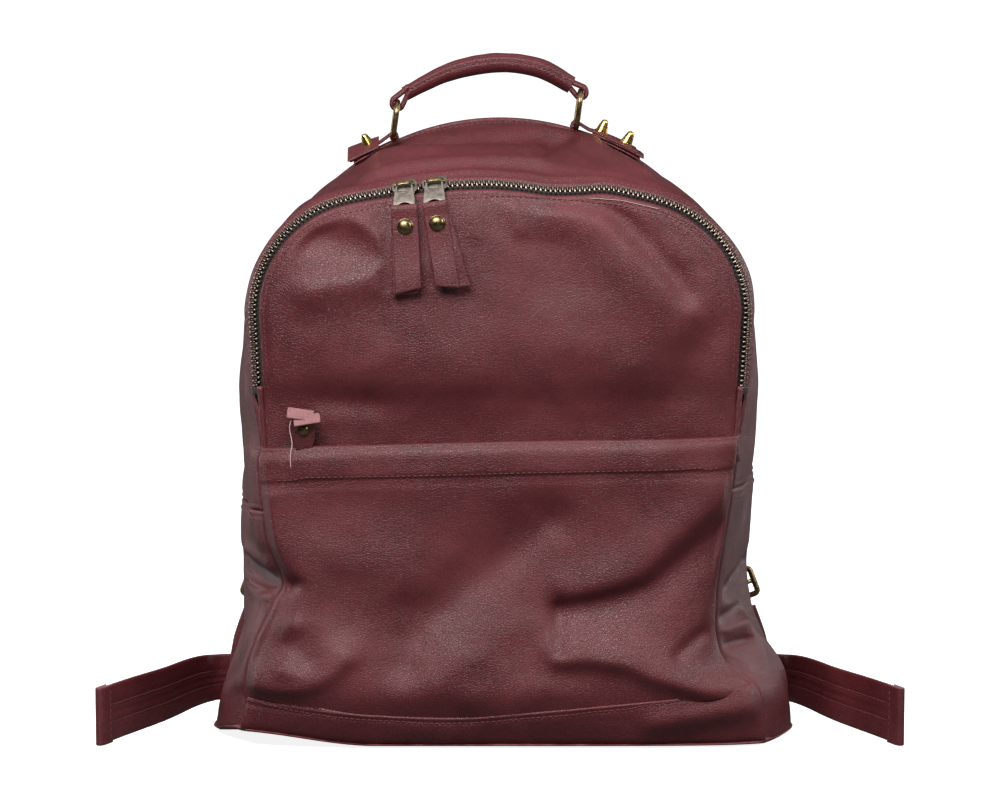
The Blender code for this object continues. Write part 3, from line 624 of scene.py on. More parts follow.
def bump(tree, height, strength, distance):
    made = add_node(tree, "ShaderNodeBump", Strength=strength, Distance=distance, Height=height)
    return made.outputs["Normal"]


def shaken_place(tree, distortion, scale):
    """Object coordinates in metres, shaken by noise."""
    place = add_node(tree, "ShaderNodeTexCoord").outputs["Object"]
    shake = add_node(tree, "ShaderNodeTexNoise", Vector=place, Scale=scale, Detail=1.0).outputs["Color"]
    centred = add_node(tree, "ShaderNodeVectorMath", {"operation": "SUBTRACT"}, n0=shake, n1=(0.5, 0.5, 0.5))
    small = add_node(tree, "ShaderNodeVectorMath", {"operation": "SCALE"}, n0=centred.outputs["Vector"],
                     Scale=distortion)
    return add_node(tree, "ShaderNodeVectorMath", {"operation": "ADD"}, n0=place,
                    n1=small.outputs["Vector"]).outputs["Vector"]


def leather_look(name, dark, middle, light, highlight_colour):
    """Pebbled leather: cells with fine creases darkened as painted shade, drifting colour, and convex ridges
    painted paler in patches as a highlight.
    """
    look, tree, shader = new_look(name, Coat_Weight=0.12, Coat_Roughness=0.3, Specular_IOR_Level=0.5)
    place = add_node(tree, "ShaderNodeTexCoord").outputs["Object"]
    shaken = shaken_place(tree, 0.0011, 420.0)
    to_edge = {"feature": "DISTANCE_TO_EDGE"}
    cells, small_cells = [add_node(tree, "ShaderNodeTexVoronoi", to_edge, Vector=shaken,
                                   Scale=scale).outputs["Distance"] for scale in (640.0, 1500.0)]
    pebble = remap(tree, cells, smooth=True, From_Max=0.22)
    fine = remap(tree, small_cells, From_Max=0.3)
    drift = noise_at(tree, place, 16.0, 4.0, Roughness=0.55, Distortion=0.5)
    mottle = noise_at(tree, place, 130.0, 3.0)
    colour = ramp(tree, weighted(tree, (drift, 0.72), (mottle, 0.28)),
                  [(0.36, dark), (0.5, middle), (0.66, light)])
    # Painted shade: the colour is darkened in the grain's creases, between the pebbles.
    crease = calc(tree, "SUBTRACT", 1.0, pebble)
    crease_shaded = mix(tree, calc(tree, "MULTIPLY", crease, 0.45), colour, (0.35, 0.25, 0.27, 1.0),
                  {"blend_type": "MULTIPLY"})
    # Painted highlight: convex ridges, found by pointiness, are mixed in noisy patches towards a paler,
    # pinkish colour.
    point = add_node(tree, "ShaderNodeNewGeometry").outputs["Pointiness"]
    edge = remap(tree, point, smooth=True, From_Min=0.52, From_Max=0.62)
    painted_highlight = calc(tree, "MULTIPLY", edge, calc(tree, "MULTIPLY", mottle, 0.9))
    rough = remap(tree, drift, From_Min=0.35, From_Max=0.65, To_Min=0.34, To_Max=0.48)
    grain = bump(tree, weighted(tree, (pebble, 0.62), (fine, 0.2), (mottle, 0.5)), 0.7, 0.00034)
    feed(tree, shader, Base_Color=mix(tree, painted_highlight, crease_shaded, (*highlight_colour, 1.0)), Normal=grain, Coat_Normal=grain,
         Roughness=calc(tree, "ADD", rough, calc(tree, "MULTIPLY", crease, 0.12)))
    return look


def metal_look(name, colour, dark, roughness, scratch=1.0):
    """Rubbed metal: darker in patches and hollows, bright on its edges, finely scratched."""
    look, tree, shader = new_look(name, Metallic=1.0)
    place = add_node(tree, "ShaderNodeTexCoord").outputs["Object"]
    patches = noise_at(tree, place, 380.0, 4.0)
    point = add_node(tree, "ShaderNodeNewGeometry").outputs["Pointiness"]
    edge = remap(tree, point, From_Min=0.44, From_Max=0.6)
    colours = ramp(tree, weighted(tree, (patches, 0.6), (edge, 0.5)), [(0.3, dark), (0.72, colour)])
    rough = remap(tree, patches, From_Min=0.3, From_Max=0.7, To_Min=roughness - 0.07,
                  To_Max=roughness + 0.12)
    lines = bump(tree, noise_at(tree, place, 2600.0, 2.0), 0.12 * scratch, 0.0001)
    feed(tree, shader, Base_Color=colours, Roughness=rough, Normal=lines)
    return look


def weave_look(name, colour, light, thread):
    """Cloth: two crossing sets of threads, `thread` mm apart, with a soft sheen."""
    look, tree, shader = new_look(name, Roughness=0.8, Sheen_Weight=0.25)
    place = shaken_place(tree, 0.0003, 300.0)
    x, y, z = add_node(tree, "ShaderNodeSeparateXYZ", Vector=place).outputs
    count = 2 * pi / (thread * MM)
    ways = (calc(tree, "ADD", x, y), calc(tree, "ADD", z, calc(tree, "MULTIPLY", y, 0.6)))
    across, along = [calc(tree, "SINE", calc(tree, "MULTIPLY", way, count), 0.0) for way in ways]
    weave = calc(tree, "MULTIPLY", across, along)
    fluff = noise_at(tree, place, 90.0, 4.0)
    mixed = weighted(tree, (remap(tree, weave, From_Min=-1.0), 0.55), (fluff, 0.45))
    feed(tree, shader, Base_Color=ramp(tree, mixed, [(0.3, colour), (0.7, light)]),
         Normal=bump(tree, weave, 0.5, 0.0003))
    return look


def fibre_look(name, colour, light, scale=900.0, roughness=0.85):
    """Raw, fibrous stuff: cut leather, flesh side, board, thread and cord."""
    look, tree, shader = new_look(name, Roughness=roughness, Sheen_Weight=0.2)
    place = shaken_place(tree, 0.0006, 300.0)
    fibre = noise_at(tree, place, scale, 5.0, Roughness=0.7)
    mixed = weighted(tree, (fibre, 0.6), (noise_at(tree, place, 60.0, 2.0), 0.4))
    feed(tree, shader, Base_Color=ramp(tree, mixed, [(0.35, colour), (0.65, light)]),
         Normal=bump(tree, fibre, 0.5, 0.0003))
    return look


# Looks that count as another look's slot.
LOOKS = {
    # Leather: dark, middle and light tones, then the paler colour painted on ridges as a highlight.
    "leather": leather_look("burgundy_leather", (0.088, 0.0095, 0.013), (0.115, 0.013, 0.0175),
                            (0.145, 0.0185, 0.0245), (0.25, 0.07, 0.078)),
    "flesh": fibre_look("leather_flesh", (0.20, 0.075, 0.08), (0.40, 0.19, 0.19)),
    "cut_edge": fibre_look("leather_cut_edge", (0.12, 0.024, 0.028), (0.24, 0.065, 0.07)),
    "thread": fibre_look("sewing_thread", (0.085, 0.009, 0.012), (0.16, 0.022, 0.028), 2500.0, 0.6),
    "pale_thread": fibre_look("loose_thread", (0.45, 0.28, 0.27), (0.65, 0.45, 0.42), 2500.0, 0.6),
    "chain": metal_look("antique_chain", (0.34, 0.27, 0.225), (0.035, 0.022, 0.017), 0.3),
    "steel": metal_look("antique_steel", (0.22, 0.19, 0.165), (0.06, 0.05, 0.042), 0.44),
    "brass": metal_look("antique_brass", (0.33, 0.24, 0.12), (0.07, 0.048, 0.024), 0.28),
    "gold": metal_look("stud_gold", (0.85, 0.58, 0.18), (0.35, 0.2, 0.05), 0.18, 0.6),
    "tape": weave_look("zip_tape", (0.010, 0.006, 0.007), (0.032, 0.022, 0.025), 0.7),
    "lining": weave_look("cotton_lining", (0.045, 0.022, 0.024), (0.12, 0.07, 0.07), 0.9),
    "board": fibre_look("base_board", (0.13, 0.10, 0.075), (0.22, 0.18, 0.14)),
    "cord": fibre_look("cotton_cord", (0.42, 0.37, 0.30), (0.62, 0.57, 0.48)),
}


# ---------------------------------------------------------------- the shell's surfaces

def gusset(fraction, depth):
    """The wall between the arches: depth 0 is its front edge and 1 its back edge."""
    below_zip = np.clip((np.abs(fraction) - ZIP_END) / 0.05, 0.0, 1.0)
    lift = EDGE - (EDGE - 0.3) * below_zip
    front_y = ZIP_Y + EDGE - 4.3 * below_zip
    front = at_y(inside(FRONT, fraction, -lift), front_y)
    back = at_y(at_fraction(BACK, fraction), BACK_Y - LEATHER - 0.3)
    bulge = 4.0 + 12.0 * np.clip((np.abs(fraction) - 0.4) / 0.35, 0.0, 1.0)
    swell = outward(FRONT, fraction) * (bulge * np.sin(pi * depth) ** 0.9)[..., None]
    swell[..., 1] *= 1.0 - ease(np.abs(fraction), 0.84, 0.96)
    return front * (1 - depth)[..., None] + back * depth[..., None] + at_y(swell, 0.0)


def wall_grid(start, end, rows, columns=64):
    """A stretch of the wall with its folds; also the distances to its front and back edges."""
    fraction, depth = np.meshgrid(np.linspace(start, end, rows), np.linspace(0, 1, columns), indexing="ij")
    grid = slump(gusset(fraction, depth))
    steps = np.linalg.norm(np.diff(grid, axis=1), axis=2)
    run = np.concatenate([np.zeros((rows, 1)), np.cumsum(steps, axis=1)], axis=1)
    to_front, to_back = run, run[:, -1:] - run
    calm = ease(to_front, 2.0, 12.0) * ease(to_back, 1.0, 10.0)
    x, y, z = grid[..., 0], grid[..., 1], grid[..., 2]
    height = 1.5 * ripple(grid, 46.0, 3.0) + 0.7 * ripple(grid, 19.0, 7.0)
    for side, sign in SIGN.items():
        folds = np.where(x * sign > 0, relief(WALL_FOLDS[side], y, z), 0.0)
        height += folds * ease(np.abs(fraction), 0.4, 0.5)
    height += relief(TOP_FOLDS, x, y) * (1.0 - ease(np.abs(fraction), 0.36, 0.46))
    zipped = 1.0 - ease(np.abs(fraction), ZIP_END - 0.05, ZIP_END)
    height += (groove(to_front, 8.0, 2.2, 4.5) - groove(to_front, 19.0, 2.0, 6.5)) * zipped
    normals = grid_normals(grid)
    return grid + normals * (height * calm)[..., None], fraction, to_front, to_back


def wall_piece(name, start, end, rows, ends, stands_for):
    """A wall panel; `ends` are the fractions at which it is sewn to the next panel."""
    grid, fraction, to_front, to_back = wall_grid(start, end, rows)
    to_seam = np.full(fraction.shape, 1e3)
    for place in ends:
        to_seam = np.minimum(to_seam, np.abs(fraction - place) * ARCH_LENGTH)
    zipped = 1.0 - ease(np.abs(fraction), ZIP_END, ZIP_END + 0.03)
    bend = roll(to_front, 2.6) * (1.0 - zipped) + roll(to_back, 2.0)
    drop = bend + np.minimum(roll(to_front, 2.4), 1.2) * zipped + roll(to_seam, 1.0)
    drop += groove(to_front, 4.6) * zipped + groove(to_back, 5.0, 0.4) + groove(to_seam, 3.6, 0.4)
    return sheet(name, grid, -drop, -bend - LEATHER, stands_for=stands_for)


def front_rim(fraction):
    """The front panel's edge: it stays further inside the arch along the zip."""
    zipped = 1.0 - ease(np.abs(fraction), ZIP_END - 0.01, ZIP_END + 0.03)
    return inside(FRONT, fraction, 0.9 + (EDGE - 0.9) * zipped)


def panel_grid(rim, rows, columns, corner, count):
    """A flat panel (x, z) inside an arched rim, and its points' distances from the rim."""
    side = np.linspace(1.0, corner, rows)
    left, right = rim(-side), rim(side)
    foot = np.linspace(left[0], right[0], columns)
    flat = coons(foot, right, rim(np.linspace(-corner, corner, columns)), left)
    return flat, distance_to(flat, rim(np.linspace(-1.0, 1.0, count)))[0]


def front_grid():
    """The whole front sheet, from the base over the hinge line to the zip, and its distance to the rim."""
    flat, distance = panel_grid(front_rim, 176, 150, 0.31, 401)
    x, z = flat[..., 0], flat[..., 1]
    puff = (1 - (1 - np.minimum(distance / 90.0, 1.0)) ** 3) ** 0.6
    grid = at_y(flat, 0.0)
    height = relief(FLAP_FOLDS, x, z) * ease(z, 205.0, 222.0)
    height += (1.2 * ripple(grid, 44.0, 11.0) + 0.6 * ripple(grid, 18.0, 5.0)) * ease(z, 190.0, 215.0)
    height *= ease(distance, 3.0, 14.0)
    near_pullers = np.hypot(np.maximum(np.abs(x + 50.0) - 24.0, 0.0), np.maximum(288.0 - z, 0.0))
    height = np.minimum(height, 0.8 + 0.35 * near_pullers)
    grid[..., 1] = FRONT_Y - smooth_table(FRONT_BULGES, z) * puff - height
    return slump(grid)[:, ::-1], distance[:, ::-1]


def pocket_point(share, height):
    """Place (x, y) of the pocket's face at a share of the half width."""
    bulge = smooth_table(POCKET_BULGES, height)
    return share * half_width(height), POCKET_Y - bulge * (1 - np.abs(share) ** 5) ** 0.6


def pocket_grid(low, high, folds, rows):
    """A stretch of the pocket between two lines of heights over x."""
    share = np.sin(np.linspace(-pi / 2, pi / 2, 150))[None, :]
    up = np.linspace(0.0, 1.0, rows)[:, None]
    x = share * half_width(100.0)
    height = low(x) * (1 - up) + high(x) * up
    x, y = pocket_point(np.broadcast_to(share, height.shape), height)
    grid = np.stack([x, y, height], axis=-1)
    fold = relief(folds, x, height) + 1.3 * ripple(grid, 42.0, 21.0) + 0.6 * ripple(grid, 17.0, 9.0)
    grid[..., 1] -= fold * ease((1.0 - np.abs(share)) * HALF_WIDTH, 0.5, 6.0)
    grid = slump(grid)
    left = [grid[:, :1] + step for step in ((1.6, 3.6, 0.0), (0.4, 1.8, 0.0))]
    right = [grid[:, -1:] + step for step in ((-0.4, 1.8, 0.0), (-1.6, 3.6, 0.0))]
    return np.concatenate(left + [grid] + right, axis=1)[:, ::-1]


def band_height(x):
    return smooth_table(BAND_LINE, x)


def pocket_top(x):
    return smooth_table(POCKET_TOP_LINE, x)


# ---------------------------------------------------------------- the shell

def make_walls():
    left, right = SEAM["left"], SEAM["right"]
    top = wall_piece("gusset_top_leather", -left, right, 420, (-left, right), ["gusset_upper"])
    sew_gusset(top, np.linspace(-left, right, len(top)))
    gap = 0.0012
    for side, start, end in (("left", -1.0, -left - gap), ("right", right + gap, 1.0)):
        seam = end if side == "left" else start
        panel = wall_piece(f"side_leather_{side}", start, end, 110, (seam,), [f"side_panel_{side}"])
        row = 4 if side == "right" else len(panel) - 5
        sewn(f"side_seam_stitches_{side}", panel, panel[row, 2:-2])
        sewn(f"side_back_stitches_{side}", panel, panel[3:-3, -6])
    lining = wall_grid(-0.982, 0.982, 300, 40)[0]
    sheet("wall_lining", lining[:, 3:-1], -LEATHER - 0.8, -LEATHER - 1.3, "lining",
          stands_for=["lining_gusset"])


def sew_gusset(surface, fraction):
    """Stitches beside the zip and beside the back seam."""
    rows = np.arange(len(surface))
    run = np.cumsum(np.linalg.norm(np.diff(surface, axis=1), axis=2), axis=1)
    front = surface[rows, np.argmax(run > 4.6, axis=1)]
    sewn("gusset_top_zip_stitches", surface, front[np.abs(fraction) < ZIP_END - 0.01])
    back = surface.shape[1] - 1 - np.argmax(run[:, ::-1] < run[:, -1:] - 5.0, axis=1)
    sewn("gusset_top_back_stitches", surface, surface[rows, back][3:-3])


def make_seam_cores():
    """The turned-in seam between the front panels and the side walls."""
    for side, sign in SIGN.items():
        core = inside(FRONT, sign * np.linspace(ZIP_END - 0.018, 0.994, 120), 2.0)
        sweep(f"seam_core_{side}", slump(at_y(core, -60.6)), circle(2.1, 12), "leather")


def make_front():
    grid, distance = front_grid()
    zipped = ease(grid[..., 2], HINGE_Z - 4.0, HINGE_Z + 6.0)
    bend = roll(distance, 3.0) * (1.0 - zipped)
    drop = bend + (np.minimum(roll(distance, 2.2), 1.2) + groove(distance, 4.6)) * zipped
    hinge = [joint for joint in frame["joints"] if joint["name"] == "front_flap_open"][0]
    x, y, z = hinge["pos_m"]
    across_hinge = ("bag", "front_flap", (x, y, z - 0.0065), (x, y, z + 0.0065))
    surface = sheet("front_leather", grid, -drop, -bend - LEATHER, body=across_hinge,
                    stands_for=["front_panel_upper", "front_panel_lower"])
    sheet("front_lining", grid[6:-6:2, 6:-6:2], -LEATHER - 0.8, -LEATHER - 1.3, "lining", across_hinge,
          ["lining_front_upper", "lining_front_lower"])
    rim = inside(FRONT, np.linspace(-0.5, 0.5, 300), EDGE + 4.6)
    sewn("front_zip_stitches", surface, at_y(rim, FRONT_Y - 4.0), across_hinge)
    place = np.linspace(0.12, 0.215, 24)
    loose = inside(FRONT, place, 4.4 + 0.8 * np.sin(place * 60.0))
    lying = laid_on(surface, at_y(loose, FRONT_Y - 5.0))[0]
    sweep("loose_thread_front", lying - (0.0, 0.35, 0.0), circle(0.22, 6), "pale_thread", "front_flap")


def make_pocket():
    rows = 120
    grid = pocket_grid(lambda x: band_height(x) - 4.0, pocket_top, POCKET_FOLDS, rows)
    to_top = pocket_top(grid[..., 0]) - grid[..., 2]
    grid[..., 1] += roll(to_top, 7.0) * 0.5
    drop = groove(to_top, HEM, 0.7, 1.2) + groove(to_top, HEM + 3.2, 0.6, 2.6)
    drop = np.where(to_top < HEM - 1.0, drop - 0.35, drop)
    grid, drop = turn_hem(grid, drop)
    surface = sheet("pocket_leather", grid, -drop, -LEATHER, "leather", stands_for=["pocket_panel"])
    x = np.linspace(-146.0, 146.0, 130)
    sewn("pocket_hem_stitches", surface[:rows], at_y(np.column_stack([x, pocket_top(x) - HEM]), -86.0))


def turn_hem(grid, drop):
    """Carries the sheet over the pocket's top edge and down its inside."""
    radius = 1.9
    forward, up = np.array([0.0, -1.0, 0.0]), np.array([0.0, 0.0, 1.0])
    centre = grid[-1] - forward * radius
    rows = [centre + radius * (forward * cos(angle) + up * sin(angle)) for angle in np.linspace(0.3, pi, 7)]
    rows += [rows[-1] - up * step for step in (4.0, 9.0, 15.0)]
    return np.concatenate([grid, rows]), np.concatenate([drop, np.repeat(drop[-1:], len(rows), axis=0)])


def make_band():
    grid = pocket_grid(lambda x: np.full_like(x, PANEL_FOOT), band_height, BAND_FOLDS, 26)
    above_foot = grid[..., 2] - PANEL_FOOT - curl(grid)
    to_top = band_height(grid[..., 0]) - grid[..., 2]
    grid[..., 1] += roll(np.maximum(above_foot, 0.0), 5.0) * 0.5
    drop = roll(np.maximum(to_top, 0.0), 1.0) + groove(to_top, 3.4, 0.45) - 1.0
    surface = sheet("band_leather", grid, -drop, -0.5, ("leather", "flesh", "leather"),
                    stands_for=["pocket_base_band"])
    x = np.linspace(-156.0, 156.0, 130)
    sewn("band_stitches", surface, at_y(np.column_stack([x, band_height(x) - 3.4]), -82.0))


def back_rim(fraction):
    return inside(BACK, fraction, 0.6)


def make_back():
    flat, distance = panel_grid(back_rim, 150, 130, 0.34, 301)
    grid = at_y(flat, BACK_Y)
    height = relief(BACK_FOLDS, flat[..., 0], flat[..., 1]) + 0.9 * ripple(grid, 50.0, 31.0)
    height = np.maximum(height + 1.0, -1.2) * ease(distance, 4.0, 20.0)
    calm_top = 1.0 - 0.9 * ease(flat[..., 1], 290.0, 320.0)
    grid[..., 1] += height * 0.8 * calm_top
    drop = roll(distance, 1.4) + groove(distance, 5.0, 0.5)
    surface = sheet("back_leather", grid, -drop, -LEATHER, stands_for=["back_panel"])
    sewn("back_stitches", surface, at_y(inside(BACK, np.linspace(-0.97, 0.97, 400), 5.6), BACK_Y))
    sheet("back_lining", grid[4:-4:2, 4:-4:2], -LEATHER - 0.4, -LEATHER - 0.8, "lining",
          stands_for=["lining_back"])
    piping = at_y(at_fraction(BACK, np.linspace(-0.992, 0.992, 360)), BACK_Y - 1.2)
    sweep("back_piping", piping, circle(2.0, 12), "leather")


def make_yoke():
    """The patch on the back that holds the tops of the shoulder straps."""
    half_low, half_high, low, high = 62.0, 46.0, 332.0, 366.0
    v = np.linspace(0.0, 1.0, 30)[:, None]
    u = np.linspace(-1.0, 1.0, 60)[None, :]
    x = u * (half_low * (1 - v) + half_high * v)
    z = low + (high - low) * v + 3.0 * (1 - u ** 2) * (v - 0.2)
    flat = np.stack([x, z], axis=-1)
    rim = [(-half_low, low), (half_low, low), (half_high, high), (-half_high, high), (-half_low, low)]
    distance, _ = distance_to(flat, np.array(rim))
    drop = roll(distance, 1.1) + groove(distance, 3.4, 0.4)
    surface = sheet("strap_yoke", at_y(flat, BACK_Y + 2.0), -drop, -1.5)
    seam = rounded([(-half_low + 5, low + 3.6), (half_low - 5, low + 3.6), (half_high - 3, high - 2.0),
                    (-half_high + 3, high - 2.0)], 3.0)
    seam = np.vstack([seam, seam[:1]])
    dense = [start + (end - start) * u for start, end in zip(seam, seam[1:]) for u in (0.0, 0.25, 0.5, 0.75)]
    sewn("yoke_stitches", surface, at_y(np.array(dense), BACK_Y + 2.0))


def make_base():
    """The base sheet: its edge is puffed out under the band and the walls."""
    depth, columns, half = np.linspace(0.0, 1.0, 60), 110, 1.7
    lip = np.array([1.4, 0.0])
    right = slump(gusset(np.ones(60), depth))[:, :2] + lip
    left = slump(gusset(-np.ones(60), depth))[:, :2] - lip
    level = np.full(columns, 6.0)
    x, y = pocket_point(np.linspace(-1.0, 1.0, columns), level)
    front = slump(np.column_stack([x, y - 0.8, level]))[:, :2]
    back = np.column_stack([np.linspace(left[-1, 0], right[-1, 0], columns), np.full(columns, BACK_Y + 0.6)])
    right[0], left[0], right[-1], left[-1] = front[-1], front[0], back[-1], back[0]
    flat = coons(front, right, back, left)
    distance, _ = distance_to(flat, np.vstack([front, right, back[::-1], left[::-1]]))
    grid = np.concatenate([flat, np.full((*distance.shape, 1), half)], axis=-1)
    grid[..., 2] += curl(grid)
    round_edge = half * rounding(distance, half)
    sheet("base_leather", grid, round_edge, -round_edge, "leather", stands_for=["base_panel"])
    inner = grid[7:-7, 7:-7] + np.array([0.0, 0.0, half + 1.2])
    sheet("base_card", inner, 0.9, -0.9, "board", stands_for=["base_board"])


# ---------------------------------------------------------------- the main zip

def facing(centre, flat):
    """A place on the zip with its face, inward and run directions; `flat` points (x, z) out of the bag."""
    normal = at_y(flat, 0.0)
    forward = np.array([0.0, -1.0, 0.0])
    run = np.stack([flat[..., 1], np.zeros(flat.shape[:-1]), -flat[..., 0]], axis=-1)
    return centre, (normal + forward) / 2 ** 0.5, (forward - normal) / 2 ** 0.5, run


def chain_frame(fraction):
    """Frames on the centre line of the main zip."""
    return facing(slump(at_y(at_fraction(FRONT, fraction), ZIP_Y)), outward(FRONT, fraction))


def crown_frame(angle):
    """The frame on the crown's even arc at an angle from its top."""
    flat = np.array([sin(radians(angle)), cos(radians(angle))])
    return facing(at_y(CROWN_R * flat + (0.0, CROWN_CENTRE_Z), ZIP_Y), flat)


def tooth(lean):
    """One tooth about its root, as (inward, run, face) points and faces."""
    corners = [(-1.1, -0.5), (1.4, -0.7), (3.2, -0.72), (3.2, 0.72), (1.4, 0.7), (-1.1, 0.5)]
    outline = rounded(corners, 0.5, 2)
    outline[:, 1] += lean * outline[:, 0]
    layers = [(-1.3, 1.0), (0.9, 1.0), (1.45, 0.62)]
    middle = outline.mean(axis=0)
    points = [(*(middle + (place - middle) * scale), level) for level, scale in layers for place in outline]
    count = len(outline)
    faces = grid_faces(3, count, True).tolist()
    faces.append(list(range(count)))
    faces.append([2 * count + j for j in range(count)][::-1])
    return np.array(points), faces


def tooth_row(name, frames, flip, body, stands_for, lean=0.10, scale=(1.0, 1.0, 1.0)):
    """A tooth at each frame; its head points inward where `flip` is 1 and outward where it is -1."""
    centre, face, inward, run = frames
    template, one = tooth(lean * flip)
    local = template * scale * np.array([flip, 1.0, 1.0])
    points = (centre[:, None] + inward[:, None] * local[:, :1] + run[:, None] * local[:, 1:2]
              + face[:, None] * local[:, 2:]).reshape(-1, 3)
    if flip > 0:
        one = [corners[::-1] for corners in one]
    add_piece(name, points, copies(one, len(centre), len(template)), ["chain"], body, stands_for, sharp=50.0)


def make_chain():
    pitch = 3.1
    count = int(2 * CHAIN_REACH * ARCH_LENGTH / pitch)
    places = np.linspace(-CHAIN_REACH, CHAIN_REACH, 2 * count)
    tooth_row("zip_teeth_back_row", chain_frame(places[::2]), -1.0, "bag", ["main_zip_teeth_back"])
    tooth_row("zip_teeth_front_row", chain_frame(places[1::2]), 1.0, "front_flap", ["main_zip_teeth_front"])


def make_tapes():
    """Each woven tape starts beside its teeth and is tucked under the leather's edge."""
    fraction = np.linspace(-ZIP_END + 0.004, ZIP_END - 0.004, 320)
    centre, face, inward, _ = chain_frame(fraction)
    under = slump(gusset(*np.meshgrid(fraction, np.array([0.0, 0.03, 0.07]), indexing="ij")))
    tucked = under - grid_normals(under) * (LEATHER + 0.9)
    start = np.stack([centre - inward * near - face * 1.2 for near in (2.0, 3.9)], axis=1)
    sheet("zip_tape_back", np.concatenate([start, tucked], axis=1), 0.0, -0.6, "tape",
          stands_for=["main_zip_tape_back"])
    rows = [slump(at_y(inside(FRONT, fraction, drawn_in), FRONT_Y + LEATHER + behind))
            for drawn_in, behind in ((10.5, 0.9), (5.5, 0.9), (3.4, 0.6), (1.4, 1.9))]
    sheet("zip_tape_front", np.stack(rows, axis=1), 0.0, -0.6, "tape", "front_flap", ["main_zip_tape_front"])


def make_stops():
    """The metal box that ends the chain on each side."""
    for side, sign in SIGN.items():
        centre, face, inward, _ = chain_frame(sign * (CHAIN_REACH + 0.007))
        plate(f"zip_stop_box_{side}", [rounded(box_outline(7.6, 4.6), 1.0)], centre + face * 0.2, inward,
              np.cross(face, inward), 3.6, 0.5, stands_for=[f"zip_stop_{side}"])


# ---------------------------------------------------------------- sliders, pulls and pullers

SLIDER_ANGLES = {"left": -7.25, "right": -4.96}
PULLER_LEANS = {"left": 3.0, "right": 9.0}
PULLER_WIDTHS = {"left": 16.5, "right": 15.0}
PLY_FAN = {"left": -2.0, "right": 7.0}


def slider_plate(name, foot, face, run, body, scale, stands_for):
    """The outer plate with its flared mouth, the flanges and the arched bridge."""
    half = np.array([(-8.0, 3.4), (-3.0, 3.9), (2.0, 5.0), (6.2, 5.6), (8.0, 3.4)]) * scale
    outline = rounded(np.vstack([half, half[::-1] * (1, -1)]), 1.6 * scale)[::-1]
    up = np.cross(face, run)
    plate(name, [outline], foot + face * 0.8 * scale, run, up, 1.5 * scale, 0.3, body, stands_for)
    for index, sign in enumerate((1, -1)):
        edge = [foot + run * u * scale + up * sign * (w + 0.1) * scale - face * 0.8 * scale
                for u, w in ((-7.0, 3.6), (-2.0, 4.1), (3.0, 5.2), (6.0, 5.4))]
        sweep(f"{name}_flange_{index}", spline(edge, 4), rounded(box_outline(3.6 * scale, 0.9), 0.3, 3),
              "steel", body, side=face, sharp=40.0)
    rise = [(-6.2, 1.2), (-5.4, 3.4), (-3.2, 4.6), (0.0, 4.9), (3.2, 4.6), (5.4, 3.4), (6.2, 1.2)]
    path = spline([foot + run * u * scale + face * v * scale for u, v in rise], 4)
    sweep(name + "_bridge", path, rounded(box_outline(2.8 * scale, 1.3 * scale), 0.5, 4), "brass", body,
          side=up, sharp=40.0)


def pull_plate(name, top, down, run, body, half_top, half_foot, length, stands_for):
    """A flat pull, wider at its foot, with an eye for the bridge and a crescent slot for the leather."""
    right = np.array([(half_top * 0.6, 1.6), (half_top, -0.8), (half_foot, -length * 0.8),
                      (half_foot, -length - 1.6)])
    outline = rounded(np.vstack([right[:1] * (-1, 1), right, right[:0:-1] * (-1, 1)]), 1.2)
    wide = half_top - 1.2
    eye = [(wide * cos(a), -length * 0.12 + length * 0.26 * sin(a)) for a in np.linspace(pi, 2 * pi, 11)]
    eye += [(wide * 0.9, 0.0), (wide * 0.5, 0.5), (-wide * 0.5, 0.5), (-wide * 0.9, 0.0)]
    reach = half_foot - 1.9
    slot = [(x, -length + 0.2 + 2.9 * (1 - (x / reach) ** 2)) for x in np.linspace(reach, -reach, 13)]
    slot += [(x, -length - 0.4) for x in np.linspace(-reach, reach, 5)[1:-1]]
    plate(name, [outline[::-1], eye, slot], top, run, -down, 1.5, 0.35, body, stands_for)


def puller_plies(name, slot, drop, across, body, length, width, fan, stands_for):
    """One strip folded through the slot: a front and a back ply whose cut ends fan out."""
    out = np.cross(drop, across)
    thick, slant = 1.35, 3.4
    position = across_positions(width)
    reach = np.concatenate([np.linspace(length + 4.0, 3.0, 40), np.linspace(2.0, -0.6, 4)])
    grid = []
    for back, steps in ((0.0, reach), (1.0, reach[::-1])):
        for s in steps:
            spread = 0.85 + (1.0 - ease(s, 1.0, 9.0)) * ease(s, -0.7, 0.8)
            turn = radians(fan) * back * ease(s, 4.0, 14.0)
            down = drop * cos(turn) + across * sin(turn)
            aside = across * cos(turn) - drop * sin(turn)
            share = max(s, 0.0) / (length + 4.0)
            forward = (1.0 - 2.0 * back) * spread + 0.5 * sin(3.0 * share * pi + 2.0 * back) * share
            tilt = slant * share * (1.0 - 0.5 * back) * np.sign(fan)
            middle = slot + down * (s + 1.8 * back * share) + out * forward
            grid.append([middle + down * (tilt * w / width) + aside * w for w in position])
    half = thick / 2 * rounding(width / 2 - np.abs(position), 0.6, 0.2)
    sheet(name, np.array(grid)[:, ::-1], half, -half, CUT_STRAP, body, stands_for)
    return out


def across_positions(width, count=13):
    """Places across a strap, crowded at its edges."""
    inner = np.linspace(-width / 2 + 0.7, width / 2 - 0.7, count)
    rim = np.array([0.0, 0.1, 0.35])
    return np.concatenate([-width / 2 + rim, inner, (width / 2 - rim)[::-1]])


def dome(radius):
    """A domed rivet head with a thin rim, as (radius, height) pairs."""
    profile = [(0.0, 0.0), (radius, 0.0), (radius * 1.02, 0.3), (radius, 0.65), (radius * 0.93, 0.8)]
    profile += [(radius * 0.9 * cos(a), 0.8 + radius * 0.42 * sin(a)) for a in np.linspace(0.15, pi / 2, 9)]
    return profile


